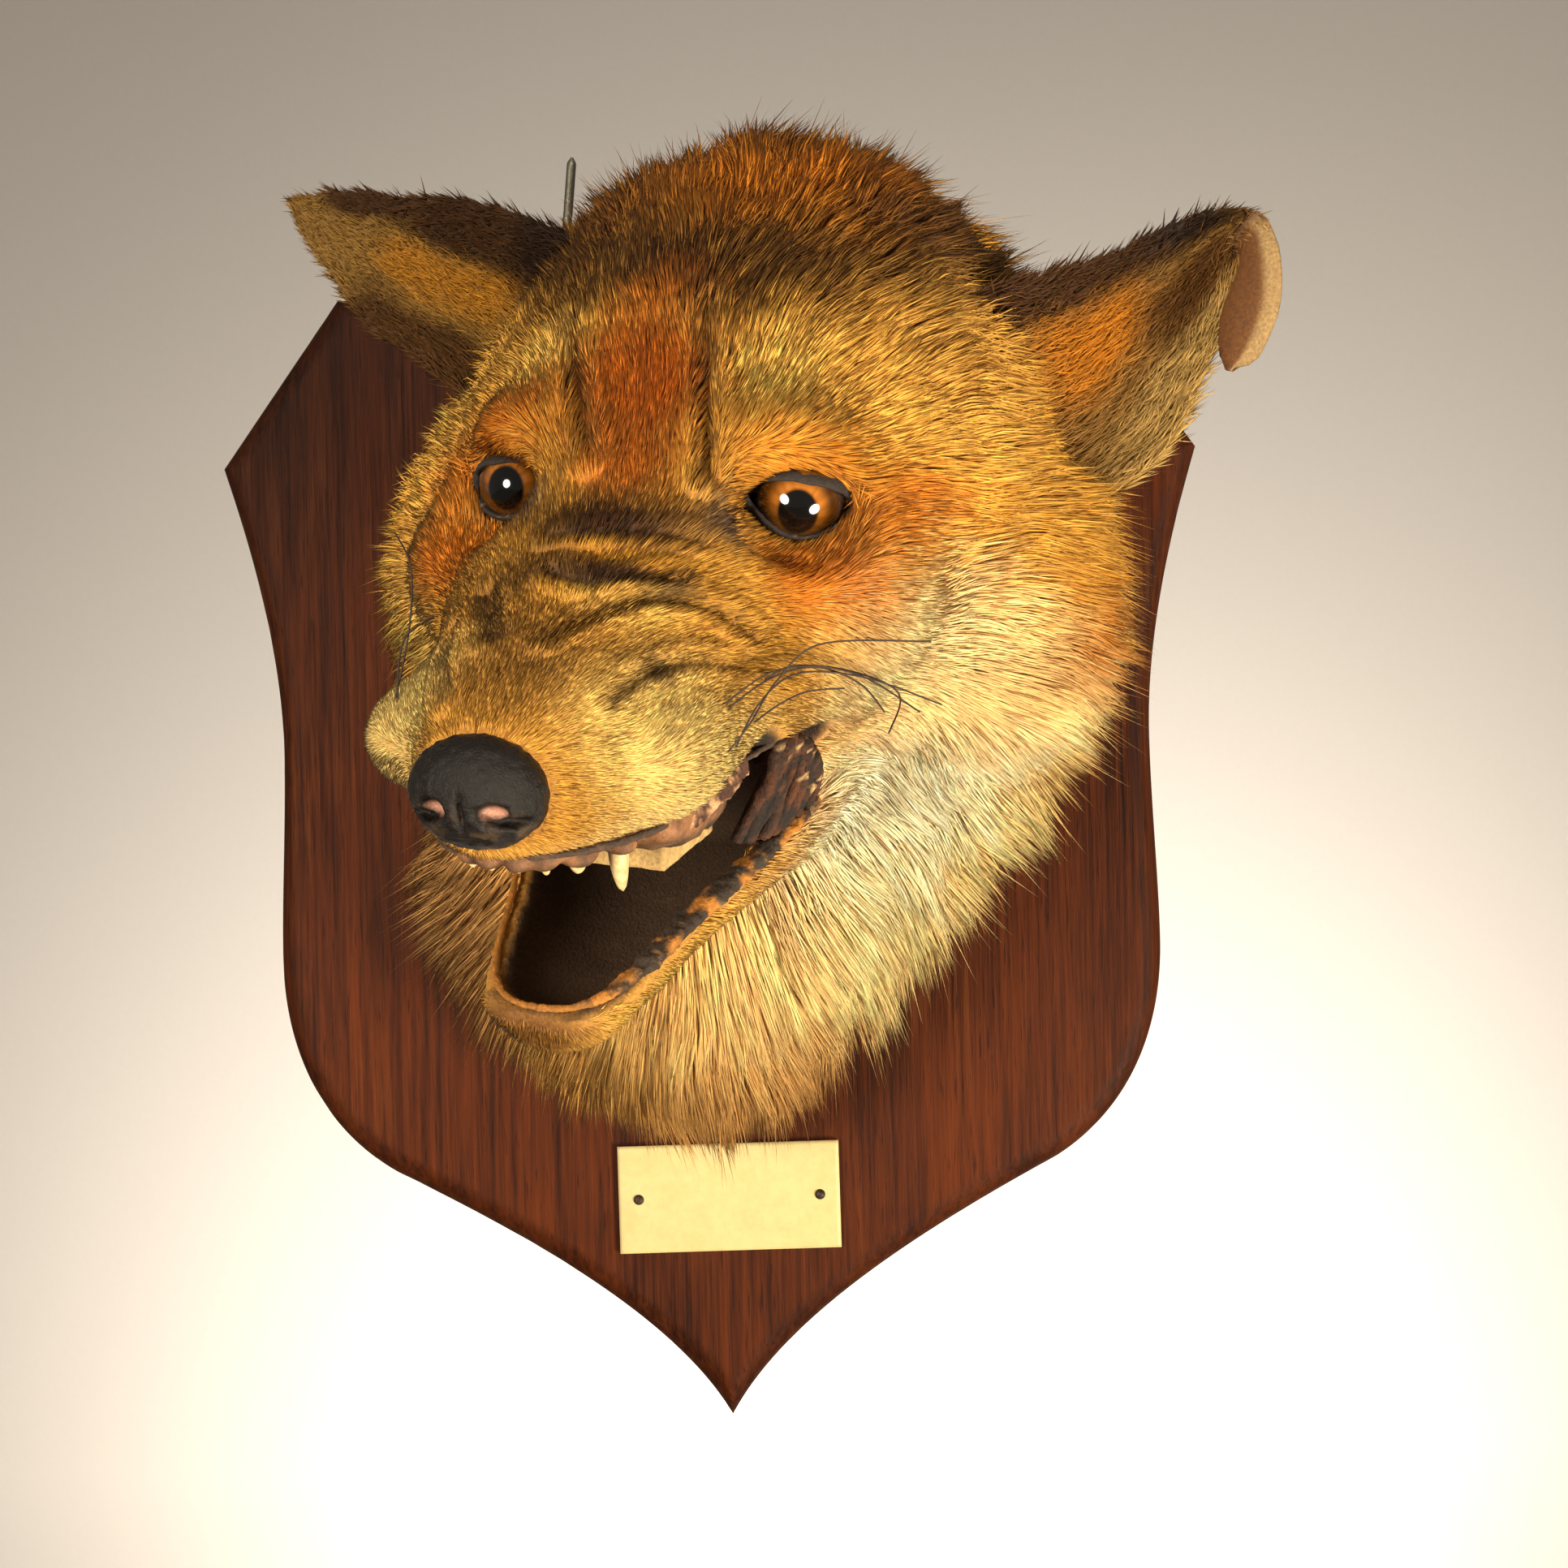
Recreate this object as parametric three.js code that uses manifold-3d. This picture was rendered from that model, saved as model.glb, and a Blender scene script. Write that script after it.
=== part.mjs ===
// Mask of a red fox with open jaws on a carved oak wall shield, an old hunting trophy.
// Millimetres, +Z up. The origin is the centre of the shield's back face. +X is the
// viewer's right and +Y runs into the wall, so everything stands out towards -Y.
//
// The coat's outer shape is written as fields: functions that are negative inside and
// positive outside. A ball-ended core is pushed out along its rays to where a field
// reads zero, which gives each solid of the head, the jaw and the neck.

import * as THREE from 'three';
import { mergeVertices } from 'three/addons/utils/BufferGeometryUtils.js';
import Module from 'manifold-3d';

const wasm = await Module();
wasm.setup();

// ---------------------------------------------------------------- driving dimensions

const GAP = 0.3;                     // between touching pieces

// Shield with a straight top, cut shoulders, a pinched waist and a long point. Each edge
// curve runs down the right side as two handles and an end, each (half width, height).
const SHIELD_THICKNESS = 18;
const SHIELD_TOP = [91.7, 139.9];
const SHIELD_SHOULDER = [121, 98.5];
const SHIELD_CURVES = [
  [[114.5, 78], [107.8, 52], [107.8, 28]],
  [[107.8, 10], [109.3, -8], [109.3, -24]],
  [[109.3, -46], [101, -66], [82, -77.4]],
  [[46, -96], [13, -116.5], [0, -139.8]],
];
const MOULDING_WIDTH = 6.5;          // rounded moulding round the front face
const MOULDING_DEPTH = 7;

// Label plate and its two pins
const PLATE_WIDTH = 54.4;
const PLATE_HEIGHT = 26.3;
const PLATE_THICKNESS = 0.9;
const PLATE_X = 0.6;
const PLATE_Z = -84.3;
const PLATE_TILT = -0.4;             // degrees
const PIN_SPACING = 44.6;
const PIN_RADIUS = 1.3;

// Steel hanging rod, let into a groove in the shield's back
const ROD_DIAMETER = 2.4;
const ROD_LEAN = 5.5;                // degrees, top towards the viewer's right
const ROD_TOP = { x: -33.4, z: 177 };
const ROD_LENGTH = 104;

// Head pose: mid-eyes, then turn, nod and tilt in degrees
const HEAD_AT = new THREE.Vector3(-6.4, -149.2, 72.7);
const HEAD_TURN = -18.1;
const HEAD_NOD = 14.1;
const HEAD_TILT = 6.5;
const JAW_HINGE = new THREE.Vector3(0, 28, -45);
const JAW_GAPE = 22.5;               // degrees
const JAW_SWING = -3.2;              // degrees, the chin hangs to the left

// Eyes, nose and teeth, in the head's frame: origin mid-eyes, -Y along the muzzle
const EYE_RADIUS = 8.8;
const EYE_SPREAD = 27.5;             // half the distance between eye centres
const EYE_DEPTH = 2;
const NOSE_AT = [0, -82, -37.2];
const NOSE_HALF = [11.8, 8, 9.4];
const NOSTRIL_SPREAD = 5.4;
const PALATE_FLOOR = -50.3;
const PALATE_ROOF = -44.5;           // top of the hollow behind the lips
const FILLER_FLOOR = -54.7;          // rough filler between the palate and the board
const MUZZLE_CUT = -22;              // where muzzle and cranium part
const TEETH = [                      // place, root radius and length below the palate's floor
  { x: 14.6, y: -57.5, radius: 2.3, length: 8.8 },
  { x: 10.2, y: -68, radius: 1.8, length: 6.5 },
  { x: 5.6, y: -72.5, radius: 1.5, length: 4 },
  { x: 1.9, y: -73.8, radius: 1.5, length: 3.6 },
];
const PALATE_CURVES = [              // front to back of the right edge, (x, y) as above
  [[8, -76], [13, -70], [15.5, -64]],
  [[19, -52], [24, -38], [27, -22]],
  [[28, -14], [25, -8], [18, -6]],
];
const PALATE_FRONT = [0, -76];
const BOARD = { x: -1, width: 38, front: -45, depth: 26, height: 4.7 };

// Sections of the coat's outer shape, nose to nape: place along Y, half width, top,
// bottom, level of the widest place, and how square the section is
const SKULL_SECTIONS = [
  [-84, 6, -30, -47, -39, 2.2],
  [-78, 13, -25, -50, -40, 2.3],
  [-66, 20, -19, -52, -41, 2.4],
  [-50, 27, -13.5, -53, -41, 2.3],
  [-34, 32, -6, -53, -38, 2.2],
  [-20, 36, 3, -54, -30, 2.2],
  [-6, 42, 16, -56, -24, 2.2],
  [10, 50, 30, -58, -20, 2.2],
  [28, 58, 43, -60, -16, 2.15],
  [48, 65, 55, -60, -12, 2.1],
  [70, 68, 67, -58, -10, 2.1],
  [90, 62, 69, -52, -8, 2.0],
  [112, 34, 42, -30, 0, 2.0],
];
const JAW_SECTIONS = [
  [-62, 7, -53, -62, -54, 2.2],
  [-58, 13, -53, -65, -54, 2.4],
  [-46, 17, -53, -67, -54, 2.4],
  [-30, 20.5, -52, -70, -54, 2.3],
  [-10, 27.5, -51, -74, -54, 2.2],
  [10, 33, -46, -80, -56, 2.2],
  [30, 35, -42, -82, -58, 2.2],
  [50, 30, -44, -78, -58, 2.2],
];
const TROUGH_SECTIONS = [
  [-58, 6, -40, -57, -46, 2.2],
  [-54, 10, -40, -60, -46, 2.4],
  [-44, 13.5, -40, -62, -46, 2.4],
  [-30, 16.5, -40, -66, -46, 2.3],
  [-10, 22, -40, -69, -46, 2.2],
  [10, 24, -40, -70, -46, 2.2],
  [24, 14, -40, -60, -46, 2.2],
];
const JAW_RIM = -53;                 // level of the lower lip in the jaw's frame

// Edge of the upper lip and round the mouth's corner, as (y, z) in the head's frame
const LIP_LINE = [
  [-66, -50], [-50, -49.5], [-34, -46.5], [-18, -42.5], [-8, -40.5], [-1, -43.5],
  [0.5, -50], [-4, -59],
];

// Ears as leaves: spine from root to tip, across the blade, half widths and cup depths
const EAR_LEFT = {
  spine: [[-44, 53, 23], [-62, 60, 31], [-82, 66, 37], [-101, 70, 44.5], [-115, 74, 50.5]],
  across: [[-0.6, -0.2, -0.77], [-0.6, -0.2, -0.77], [-0.5, -0.2, -0.84], [-0.4, -0.1, -0.9],
    [-0.4, -0.1, -0.9]],
  halfWidths: [22, 20, 17, 9, 2.4],
  cups: [9, 9, 7, 3, 0.5],
};
const EAR_RIGHT = {
  spine: [[50, 58, 8], [66, 66, 16], [75, 73, 24.5], [82.5, 81, 33], [89, 86, 40.5],
    [96, 87, 47], [100.5, 83.5, 42], [100.5, 79, 32], [97.5, 77, 19.5]],
  across: [[0.5, -0.1, -0.86], [0.5, -0.1, -0.86], [0.45, -0.1, -0.88], [0.5, -0.1, -0.86],
    [0.62, -0.1, -0.78], [0.8, -0.4, -0.45], [0.8, -0.6, 0], [0.9, -0.3, 0.1], [0.9, -0.3, 0.1]],
  halfWidths: [27, 25, 20, 14.5, 10, 5.5, 5.5, 6.5, 5.5],
  cups: [10, 10, 8, 7, 5, 3, 2, 1.5, 0.5],
};
const EAR_THICKNESS = 3.6;

// ---------------------------------------------------------------- fields

const clamp = THREE.MathUtils.clamp;
const degToRad = THREE.MathUtils.degToRad;

function smoothMin(a, b, blend) {
  const share = clamp(0.5 + (0.5 * (b - a)) / blend, 0, 1);
  return b * (1 - share) + a * share - blend * share * (1 - share);
}

function smoothMax(a, b, blend) {
  return -smoothMin(-a, -b, blend);
}

// An ellipsoid whose sides run straighter to its poles than a ball's
function spindle(p, centre, radii, power) {
  const q = p.clone().sub(centre).divide(radii);
  const ring = (Math.abs(q.x) ** power + Math.abs(q.y) ** power + Math.abs(q.z) ** power)
    ** (1 / power);
  return (ring - 1) * Math.min(radii.x, radii.y, radii.z);
}

function ellipsoid(p, centre, radii) {
  const q = p.clone().sub(centre).divide(radii);
  const length = q.length();
  return (length * (length - 1)) / Math.max(q.divide(radii).length(), 1e-9);
}

// Monotone cubic curve through one column of a table of sections
function sectionCurve(sections, column) {
  const xs = sections.map((row) => row[0]);
  const ys = sections.map((row) => row[column]);
  const steps = xs.slice(1).map((x, i) => (ys[i + 1] - ys[i]) / (x - xs[i]));
  const slopes = xs.map((_, i) => {
    if (i === 0) return steps[0];
    if (i === xs.length - 1) return steps[i - 1];
    const product = steps[i - 1] * steps[i];
    return product > 0 ? (2 * product) / (steps[i - 1] + steps[i]) : 0;
  });
  return (value) => {
    const x = clamp(value, xs[0], xs[xs.length - 1]);
    let i = 0;
    while (i < xs.length - 2 && x > xs[i + 1]) i += 1;
    const h = xs[i + 1] - xs[i];
    const t = (x - xs[i]) / h;
    const rise = (2 * t ** 3 - 3 * t ** 2 + 1) * ys[i] + (3 * t ** 2 - 2 * t ** 3) * ys[i + 1];
    const bend = (t ** 3 - 2 * t ** 2 + t) * slopes[i] + (t ** 3 - t ** 2) * slopes[i + 1];
    return rise + h * bend;
  };
}

// A body lofted along Y through superellipse sections
function loft(sections) {
  const [half, top, bottom, middle, power] = [1, 2, 3, 4, 5].map((c) => sectionCurve(sections, c));
  const first = sections[0][0];
  const last = sections[sections.length - 1][0];
  return (p) => {
    const width = half(p.y);
    const level = middle(p.y);
    const height = p.z > level ? top(p.y) - level : level - bottom(p.y);
    const n = power(p.y);
    const ring = (Math.abs(p.x / width) ** n + Math.abs((p.z - level) / height) ** n) ** (1 / n);
    const end = Math.max(first - p.y, p.y - last);
    return Math.max((ring - 1) * Math.min(width, height), end);
  };
}

const v = (x, y, z) => new THREE.Vector3(x, y, z);
const skullLoft = loft(SKULL_SECTIONS);
const BROW = { at: v(23, 4, 10), radii: v(14, 14, 9) };
const CHEEKBONE = { at: v(36, 10, -18), radii: v(18, 24, 16) };
const CHEEK_FUR = { at: v(50, 56, -26), radii: v(31, 38, 38) };
const WHISKER_PAD = { at: v(26, -43, -37), radii: v(10, 20, 9) };
const EYE_HOLLOW = { at: v(33, -13, -1), radii: v(13, 11, 9) };

function skullField(p) {
  const side = v(Math.abs(p.x), p.y, p.z);
  let d = skullLoft(p);
  d = smoothMin(d, ellipsoid(side, BROW.at, BROW.radii), 8);
  d = smoothMin(d, ellipsoid(side, WHISKER_PAD.at, WHISKER_PAD.radii), 7);
  d = smoothMin(d, ellipsoid(side, CHEEKBONE.at, CHEEKBONE.radii), 10);
  d = smoothMin(d, ellipsoid(side, CHEEK_FUR.at, CHEEK_FUR.radii), 14);
  return smoothMax(d, -ellipsoid(side, EYE_HOLLOW.at, EYE_HOLLOW.radii), 5);
}

// Ruff and nape, in the part's frame
const RUFF_LOW = { at: v(1, -40, 8), radii: v(75, 60, 74), power: 1.72 };
const RUFF_SIDES = { at: v(11, -52, 60), radii: v(82, 56, 80) };
const NAPE = { at: v(17, -56, 108), radii: v(61, 42, 60) };

function neckField(p) {
  let d = spindle(p, RUFF_LOW.at, RUFF_LOW.radii, RUFF_LOW.power);
  d = smoothMin(d, ellipsoid(p, RUFF_SIDES.at, RUFF_SIDES.radii), 16);
  return smoothMin(d, ellipsoid(p, NAPE.at, NAPE.radii), 16);
}

function noseField(p) {
  const side = v(Math.abs(p.x), p.y, p.z);
  const [x, y, z] = NOSE_AT;
  const pad = ellipsoid(p, v(x, y, z), v(...NOSE_HALF));
  const nostril = ellipsoid(side, v(NOSTRIL_SPREAD, y - 7.4, z - 1.8), v(2.7, 3.2, 2));
  const septum = ellipsoid(p, v(x, y - 8.6, z - 4), v(0.9, 2, 6));
  return smoothMax(smoothMax(pad, -nostril, 1), -septum, 1);
}

// ---------------------------------------------------------------- solids

function toSolid(geometry) {
  const bare = new THREE.BufferGeometry();
  bare.setAttribute('position', geometry.getAttribute('position').clone());
  bare.setIndex(geometry.getIndex());
  const merged = mergeVertices(bare, 1e-4);
  const corners = merged.getIndex().array;
  const kept = [];
  for (let i = 0; i < corners.length; i += 3) {
    const [a, b, c] = [corners[i], corners[i + 1], corners[i + 2]];
    if (a !== b && b !== c && c !== a) kept.push(a, b, c);
  }
  return new wasm.Manifold(new wasm.Mesh({
    numProp: 3,
    vertProperties: new Float32Array(merged.getAttribute('position').array),
    triVerts: new Uint32Array(kept),
  }));
}

function toGeometry(solid) {
  const mesh = solid.getMesh();
  const geometry = new THREE.BufferGeometry();
  geometry.setAttribute('position', new THREE.BufferAttribute(mesh.vertProperties, 3));
  geometry.setIndex(new THREE.BufferAttribute(mesh.triVerts, 1));
  geometry.computeVertexNormals();
  return geometry;
}

// The largest of a solid's separate bodies
function mainBody(solid) {
  return solid.decompose().reduce((a, b) => (a.volume() > b.volume() ? a : b));
}

// A ball-ended core from a to b, each corner pushed out to where the field reads level
function wrap(field, a, b, { rings, around, ends, reach = 130, level = 0 }) {
  const core = new THREE.Line3(a, b);
  const geometry = new THREE.CapsuleGeometry(1, core.distance(), ends, around, rings);
  const direction = core.delta(v(0, 0, 0)).normalize();
  geometry.applyQuaternion(new THREE.Quaternion().setFromUnitVectors(v(0, 1, 0), direction));
  const middle = core.getCenter(v(0, 0, 0));
  geometry.translate(middle.x, middle.y, middle.z);
  const position = geometry.getAttribute('position');
  for (let i = 0; i < position.count; i += 1) {
    const corner = v(0, 0, 0).fromBufferAttribute(position, i);
    const root = core.closestPointToPoint(corner, true, v(0, 0, 0));
    const ray = corner.sub(root).normalize();
    let low = 0;
    let high = reach;
    for (let turn = 0; turn < 24; turn += 1) {
      const middleReach = (low + high) / 2;
      if (field(root.clone().addScaledVector(ray, middleReach)) < level) low = middleReach;
      else high = middleReach;
    }
    root.addScaledVector(ray, low);
    position.setXYZ(i, root.x, root.y, root.z);
  }
  return geometry;
}

function block(width, depth, height, x, y, z) {
  return toSolid(new THREE.BoxGeometry(width, depth, height).translate(x, y, z));
}

// A prism across the head, from an outline of (y, z) points
function crossPrism(points, halfWidth) {
  const outline = new THREE.Shape(points.map(([y, z]) => new THREE.Vector2(y, z)));
  const prism = new THREE.ExtrudeGeometry(outline, { depth: 2 * halfWidth, bevelEnabled: false });
  prism.translate(0, 0, -halfWidth);
  prism.applyMatrix4(new THREE.Matrix4().makeBasis(v(0, 1, 0), v(0, 0, 1), v(1, 0, 0)));
  return toSolid(prism);
}

// ---------------------------------------------------------------- frames

const headMatrix = new THREE.Matrix4().makeRotationFromEuler(new THREE.Euler(
  degToRad(HEAD_NOD), degToRad(HEAD_TILT), degToRad(HEAD_TURN), 'ZXY'));
headMatrix.setPosition(HEAD_AT);

const jawMatrix = new THREE.Matrix4().makeTranslation(JAW_HINGE)
  .multiply(new THREE.Matrix4().makeRotationZ(degToRad(JAW_SWING)))
  .multiply(new THREE.Matrix4().makeRotationX(degToRad(JAW_GAPE)))
  .multiply(new THREE.Matrix4().makeTranslation(JAW_HINGE.clone().negate()));

const fromJaw = (y, z) => {
  const p = v(0, y, z).applyMatrix4(jawMatrix);
  return [p.y, p.z];
};

// ---------------------------------------------------------------- head, in its own frame

const SKULL_CORE = [v(0, -70, -38), v(0, 82, 0)];
const SKULL_MESH = { rings: 24, around: 34, ends: 5 };
const JAW_CORE = [v(0, -50, -59), v(0, 40, -62)];
const JAW_MESH = { rings: 10, around: 20, ends: 4 };
const NECK_CORE = [v(6, -45, 2), v(14, -52, 112)];
const NECK_MESH = { rings: 8, around: 26, ends: 5 };

const skullShape = (level) => wrap(skullField, ...SKULL_CORE, { ...SKULL_MESH, level });
const jawShape = (level) => wrap(loft(JAW_SECTIONS), ...JAW_CORE, { ...JAW_MESH, level })
  .applyMatrix4(jawMatrix);
const neckShape = (level) => wrap(neckField, ...NECK_CORE, { ...NECK_MESH, level });

function mouthOutline(inset) {
  const reachFront = -110;
  const lip = LIP_LINE.map(([y, z]) => new THREE.Vector3(y, z, 0));
  const curve = new THREE.CatmullRomCurve3(lip).getPoints(14).map((p) => [p.x, p.y - inset]);
  const rimBack = fromJaw(-18, JAW_RIM + inset);
  const rimFront = fromJaw(reachFront, JAW_RIM + inset);
  return [[reachFront, -50 - inset], ...curve, rimBack, rimFront];
}

function buildTrough() {
  const core = [v(0, -48, -50), v(0, 14, -52)];
  const mesh = { rings: 8, around: 18, ends: 4 };
  return toSolid(wrap(loft(TROUGH_SECTIONS), ...core, mesh).applyMatrix4(jawMatrix));
}

function eyeBall(side, clearance) {
  const ball = new THREE.SphereGeometry(EYE_RADIUS + clearance, 16, 10);
  return ball.translate(side * EYE_SPREAD, EYE_DEPTH, 0);
}

function noseShape(level) {
  const [x, y, z] = NOSE_AT;
  const core = [v(x - 3, y, z), v(x + 3, y, z)];
  return wrap(noseField, ...core, { rings: 2, around: 18, ends: 5, reach: 20, level });
}

const mouth = crossPrism(mouthOutline(0), 70);
const trough = buildTrough();

// Head without neck, jaw or ears: eye sockets, nose seat and mouth are open
function buildSkull() {
  let skull = toSolid(skullShape(0)).subtract(mouth).subtract(trough);
  skull = skull.subtract(palatePrism(-60, PALATE_ROOF, GAP));
  for (const side of [-1, 1]) skull = skull.subtract(toSolid(eyeBall(side, GAP)));
  return skull.subtract(toSolid(noseShape(1.2 * GAP)));
}

function splitSkull(skull) {
  const back = block(300, 200, 300, 0, MUZZLE_CUT + 100, 0);
  const front = block(300, 200, 300, 0, MUZZLE_CUT - GAP - 100, 0);
  return { cranium: mainBody(skull.intersect(back)), muzzle: mainBody(skull.intersect(front)) };
}

// Plan of the false palate, a row of teeth's width inside the lips
function palatePlan(clearance) {
  const widen = ([x, y]) => [x + Math.sign(x) * clearance, y + Math.sign(y + 40) * clearance];
  const starts = [PALATE_FRONT, ...PALATE_CURVES.map((curve) => curve[2])].map(widen);
  const plan = new THREE.Shape();
  plan.moveTo(...starts[0]);
  for (const curve of PALATE_CURVES) {
    const [leave, arrive, end] = curve.map(widen);
    plan.bezierCurveTo(...leave, ...arrive, ...end);
  }
  plan.lineTo(-starts[3][0], starts[3][1]);
  for (let i = PALATE_CURVES.length - 1; i >= 0; i -= 1) {
    const [leave, arrive] = PALATE_CURVES[i].map(widen);
    plan.bezierCurveTo(-arrive[0], arrive[1], -leave[0], leave[1], -starts[i][0], starts[i][1]);
  }
  return plan;
}

function palatePrism(bottom, top, clearance) {
  const settings = { depth: top - bottom, bevelEnabled: false, curveSegments: 5 };
  const prism = new THREE.ExtrudeGeometry(palatePlan(clearance), settings);
  return toSolid(prism.translate(0, 0, bottom));
}

// The false palate fills the hollow behind the lips and carries the teeth
function buildPalate() {
  const seated = palatePrism(PALATE_FLOOR, PALATE_ROOF - GAP, 0);
  const gums = palatePrism(PALATE_FLOOR, -30, 0).intersect(crossPrism(mouthOutline(GAP), 70));
  const filler = palatePrism(FILLER_FLOOR, PALATE_ROOF - GAP, -3)
    .intersect(block(100, 100, 100, 0, BOARD.front + 50, 0));
  let palate = seated.add(gums).add(filler);
  for (const { x, y, radius, length } of TEETH) {
    for (const side of [-1, 1]) palate = palate.add(buildTooth(side * x, y, radius, length));
  }
  return mainBody(palate);
}

function buildTooth(x, y, radius, length) {
  const root = 3;
  const profile = [
    [0, -length], [0.25 * radius, -0.9 * length], [0.75 * radius, -0.35 * length],
    [radius, 0.3 * root], [0.9 * radius, root], [0, root],
  ].map(([r, z]) => new THREE.Vector2(r, z));
  const tooth = new THREE.LatheGeometry(profile, 8).rotateX(Math.PI / 2);
  return toSolid(tooth.translate(x, y, PALATE_FLOOR));
}

function buildJaw() {
  return mainBody(toSolid(jawShape(0)).subtract(mouth).subtract(trough)
    .subtract(toSolid(skullShape(GAP * 1.4))));
}

// A cupped leaf along a spine, thinner towards its rim and tip
function leaf({ spine, across, halfWidths, cups }, facing) {
  const lengthSteps = 14;
  const widthSteps = 6;
  const toCurve = (points) => new THREE.CatmullRomCurve3(points.map((p) => v(...p)));
  const spineCurve = toCurve(spine);
  const acrossCurve = toCurve(across);
  const along = (values, t) => {
    const place = t * (values.length - 1);
    const i = Math.min(Math.floor(place), values.length - 2);
    return THREE.MathUtils.lerp(values[i], values[i + 1], place - i);
  };
  const geometry = new THREE.BoxGeometry(1, 1, 1, lengthSteps, widthSteps, 1);
  const position = geometry.getAttribute('position');
  for (let i = 0; i < position.count; i += 1) {
    const t = position.getX(i) + 0.5;
    const s = 2 * position.getY(i);
    const outer = position.getZ(i) * facing < 0;
    const tangent = spineCurve.getTangent(t);
    const wide = acrossCurve.getPoint(t);
    wide.addScaledVector(tangent, -wide.dot(tangent)).normalize();
    const normal = tangent.clone().cross(wide).multiplyScalar(facing);
    const thickness = EAR_THICKNESS * (1 - 0.5 * t) * (1 - 0.6 * s ** 4);
    const cup = along(cups, t) * (s * s - 0.5) - (outer ? thickness : 0);
    const p = spineCurve.getPoint(t).addScaledVector(wide, along(halfWidths, t) * s);
    p.addScaledVector(normal, cup);
    position.setXYZ(i, p.x, p.y, p.z);
  }
  return geometry;
}

function buildEar(ear, facing) {
  const inverseHead = headMatrix.clone().invert();
  const neck = neckShape(GAP * 1.4).applyMatrix4(inverseHead);
  return mainBody(toSolid(leaf(ear, facing)).subtract(toSolid(skullShape(GAP * 1.4)))
    .subtract(toSolid(neck)));
}

// ---------------------------------------------------------------- neck, in the part's frame

function buildNeck() {
  const slab = block(400, 100, 500, 0, -SHIELD_THICKNESS - GAP + 50, 0);
  const skull = toSolid(skullShape(GAP * 1.4).applyMatrix4(headMatrix));
  const jaw = toSolid(jawShape(GAP * 1.4).applyMatrix4(headMatrix));
  const hollow = toSolid(toGeometry(trough).applyMatrix4(headMatrix));
  return mainBody(toSolid(neckShape(0)).subtract(slab).subtract(skull).subtract(jaw)
    .subtract(hollow));
}

// ---------------------------------------------------------------- shield and fittings

function shieldOutline() {
  const outline = new THREE.Shape();
  outline.moveTo(...SHIELD_TOP);
  outline.lineTo(...SHIELD_SHOULDER);
  for (const [leave, arrive, end] of SHIELD_CURVES) {
    outline.bezierCurveTo(...leave, ...arrive, ...end);
  }
  const starts = [SHIELD_SHOULDER, ...SHIELD_CURVES.map((curve) => curve[2])];
  for (let i = SHIELD_CURVES.length - 1; i >= 0; i -= 1) {
    const [leave, arrive] = SHIELD_CURVES[i];
    outline.bezierCurveTo(-arrive[0], arrive[1], -leave[0], leave[1], -starts[i][0], starts[i][1]);
  }
  outline.lineTo(-SHIELD_TOP[0], SHIELD_TOP[1]);
  outline.closePath();
  return outline;
}

function rodPlacement(geometry) {
  geometry.rotateX(Math.PI / 2).translate(0, 0, -ROD_LENGTH / 2);
  geometry.rotateY(degToRad(ROD_LEAN));
  return geometry.translate(ROD_TOP.x, -ROD_DIAMETER / 2 - GAP, ROD_TOP.z);
}

// A slab with a rounded moulding round its front and a groove for the rod in its back
function buildShield() {
  const outline = shieldOutline();
  const plain = { depth: SHIELD_THICKNESS - MOULDING_DEPTH, bevelEnabled: false, curveSegments: 6 };
  const moulded = {
    depth: SHIELD_THICKNESS - 2 * MOULDING_DEPTH,
    bevelThickness: MOULDING_DEPTH,
    bevelSize: MOULDING_WIDTH,
    bevelOffset: -MOULDING_WIDTH,
    bevelSegments: 2,
    curveSegments: 6,
  };
  const back = new THREE.ExtrudeGeometry(outline, plain).rotateX(Math.PI / 2);
  const front = new THREE.ExtrudeGeometry(outline, moulded).rotateX(Math.PI / 2)
    .translate(0, -MOULDING_DEPTH, 0);
  const groove = rodPlacement(new THREE.BoxGeometry(
    ROD_DIAMETER + 2 * GAP, ROD_LENGTH + 2 * GAP, ROD_DIAMETER + 6 * GAP));
  return toSolid(back).add(toSolid(front)).subtract(toSolid(groove));
}

function buildRod() {
  return rodPlacement(new THREE.CylinderGeometry(
    ROD_DIAMETER / 2, ROD_DIAMETER / 2, ROD_LENGTH, 12));
}

function buildPlate() {
  const bevel = 0.25;
  const shape = new THREE.Shape();
  shape.moveTo(-PLATE_WIDTH / 2 + bevel, -PLATE_HEIGHT / 2 + bevel);
  shape.lineTo(PLATE_WIDTH / 2 - bevel, -PLATE_HEIGHT / 2 + bevel);
  shape.lineTo(PLATE_WIDTH / 2 - bevel, PLATE_HEIGHT / 2 - bevel);
  shape.lineTo(-PLATE_WIDTH / 2 + bevel, PLATE_HEIGHT / 2 - bevel);
  shape.closePath();
  const settings = {
    depth: PLATE_THICKNESS - 2 * bevel,
    bevelThickness: bevel,
    bevelSize: bevel,
    bevelSegments: 1,
  };
  return new THREE.ExtrudeGeometry(shape, settings).translate(0, 0, bevel).rotateX(Math.PI / 2);
}

function buildPin() {
  const dome = new THREE.SphereGeometry(PIN_RADIUS, 12, 4, 0, 2 * Math.PI, 0, Math.PI / 2);
  const foot = new THREE.CircleGeometry(PIN_RADIUS, 12).rotateX(Math.PI / 2);
  const solid = toSolid(joined(dome, foot).scale(1, 0.6, 1));
  return toGeometry(solid).rotateX(Math.PI);
}

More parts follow.
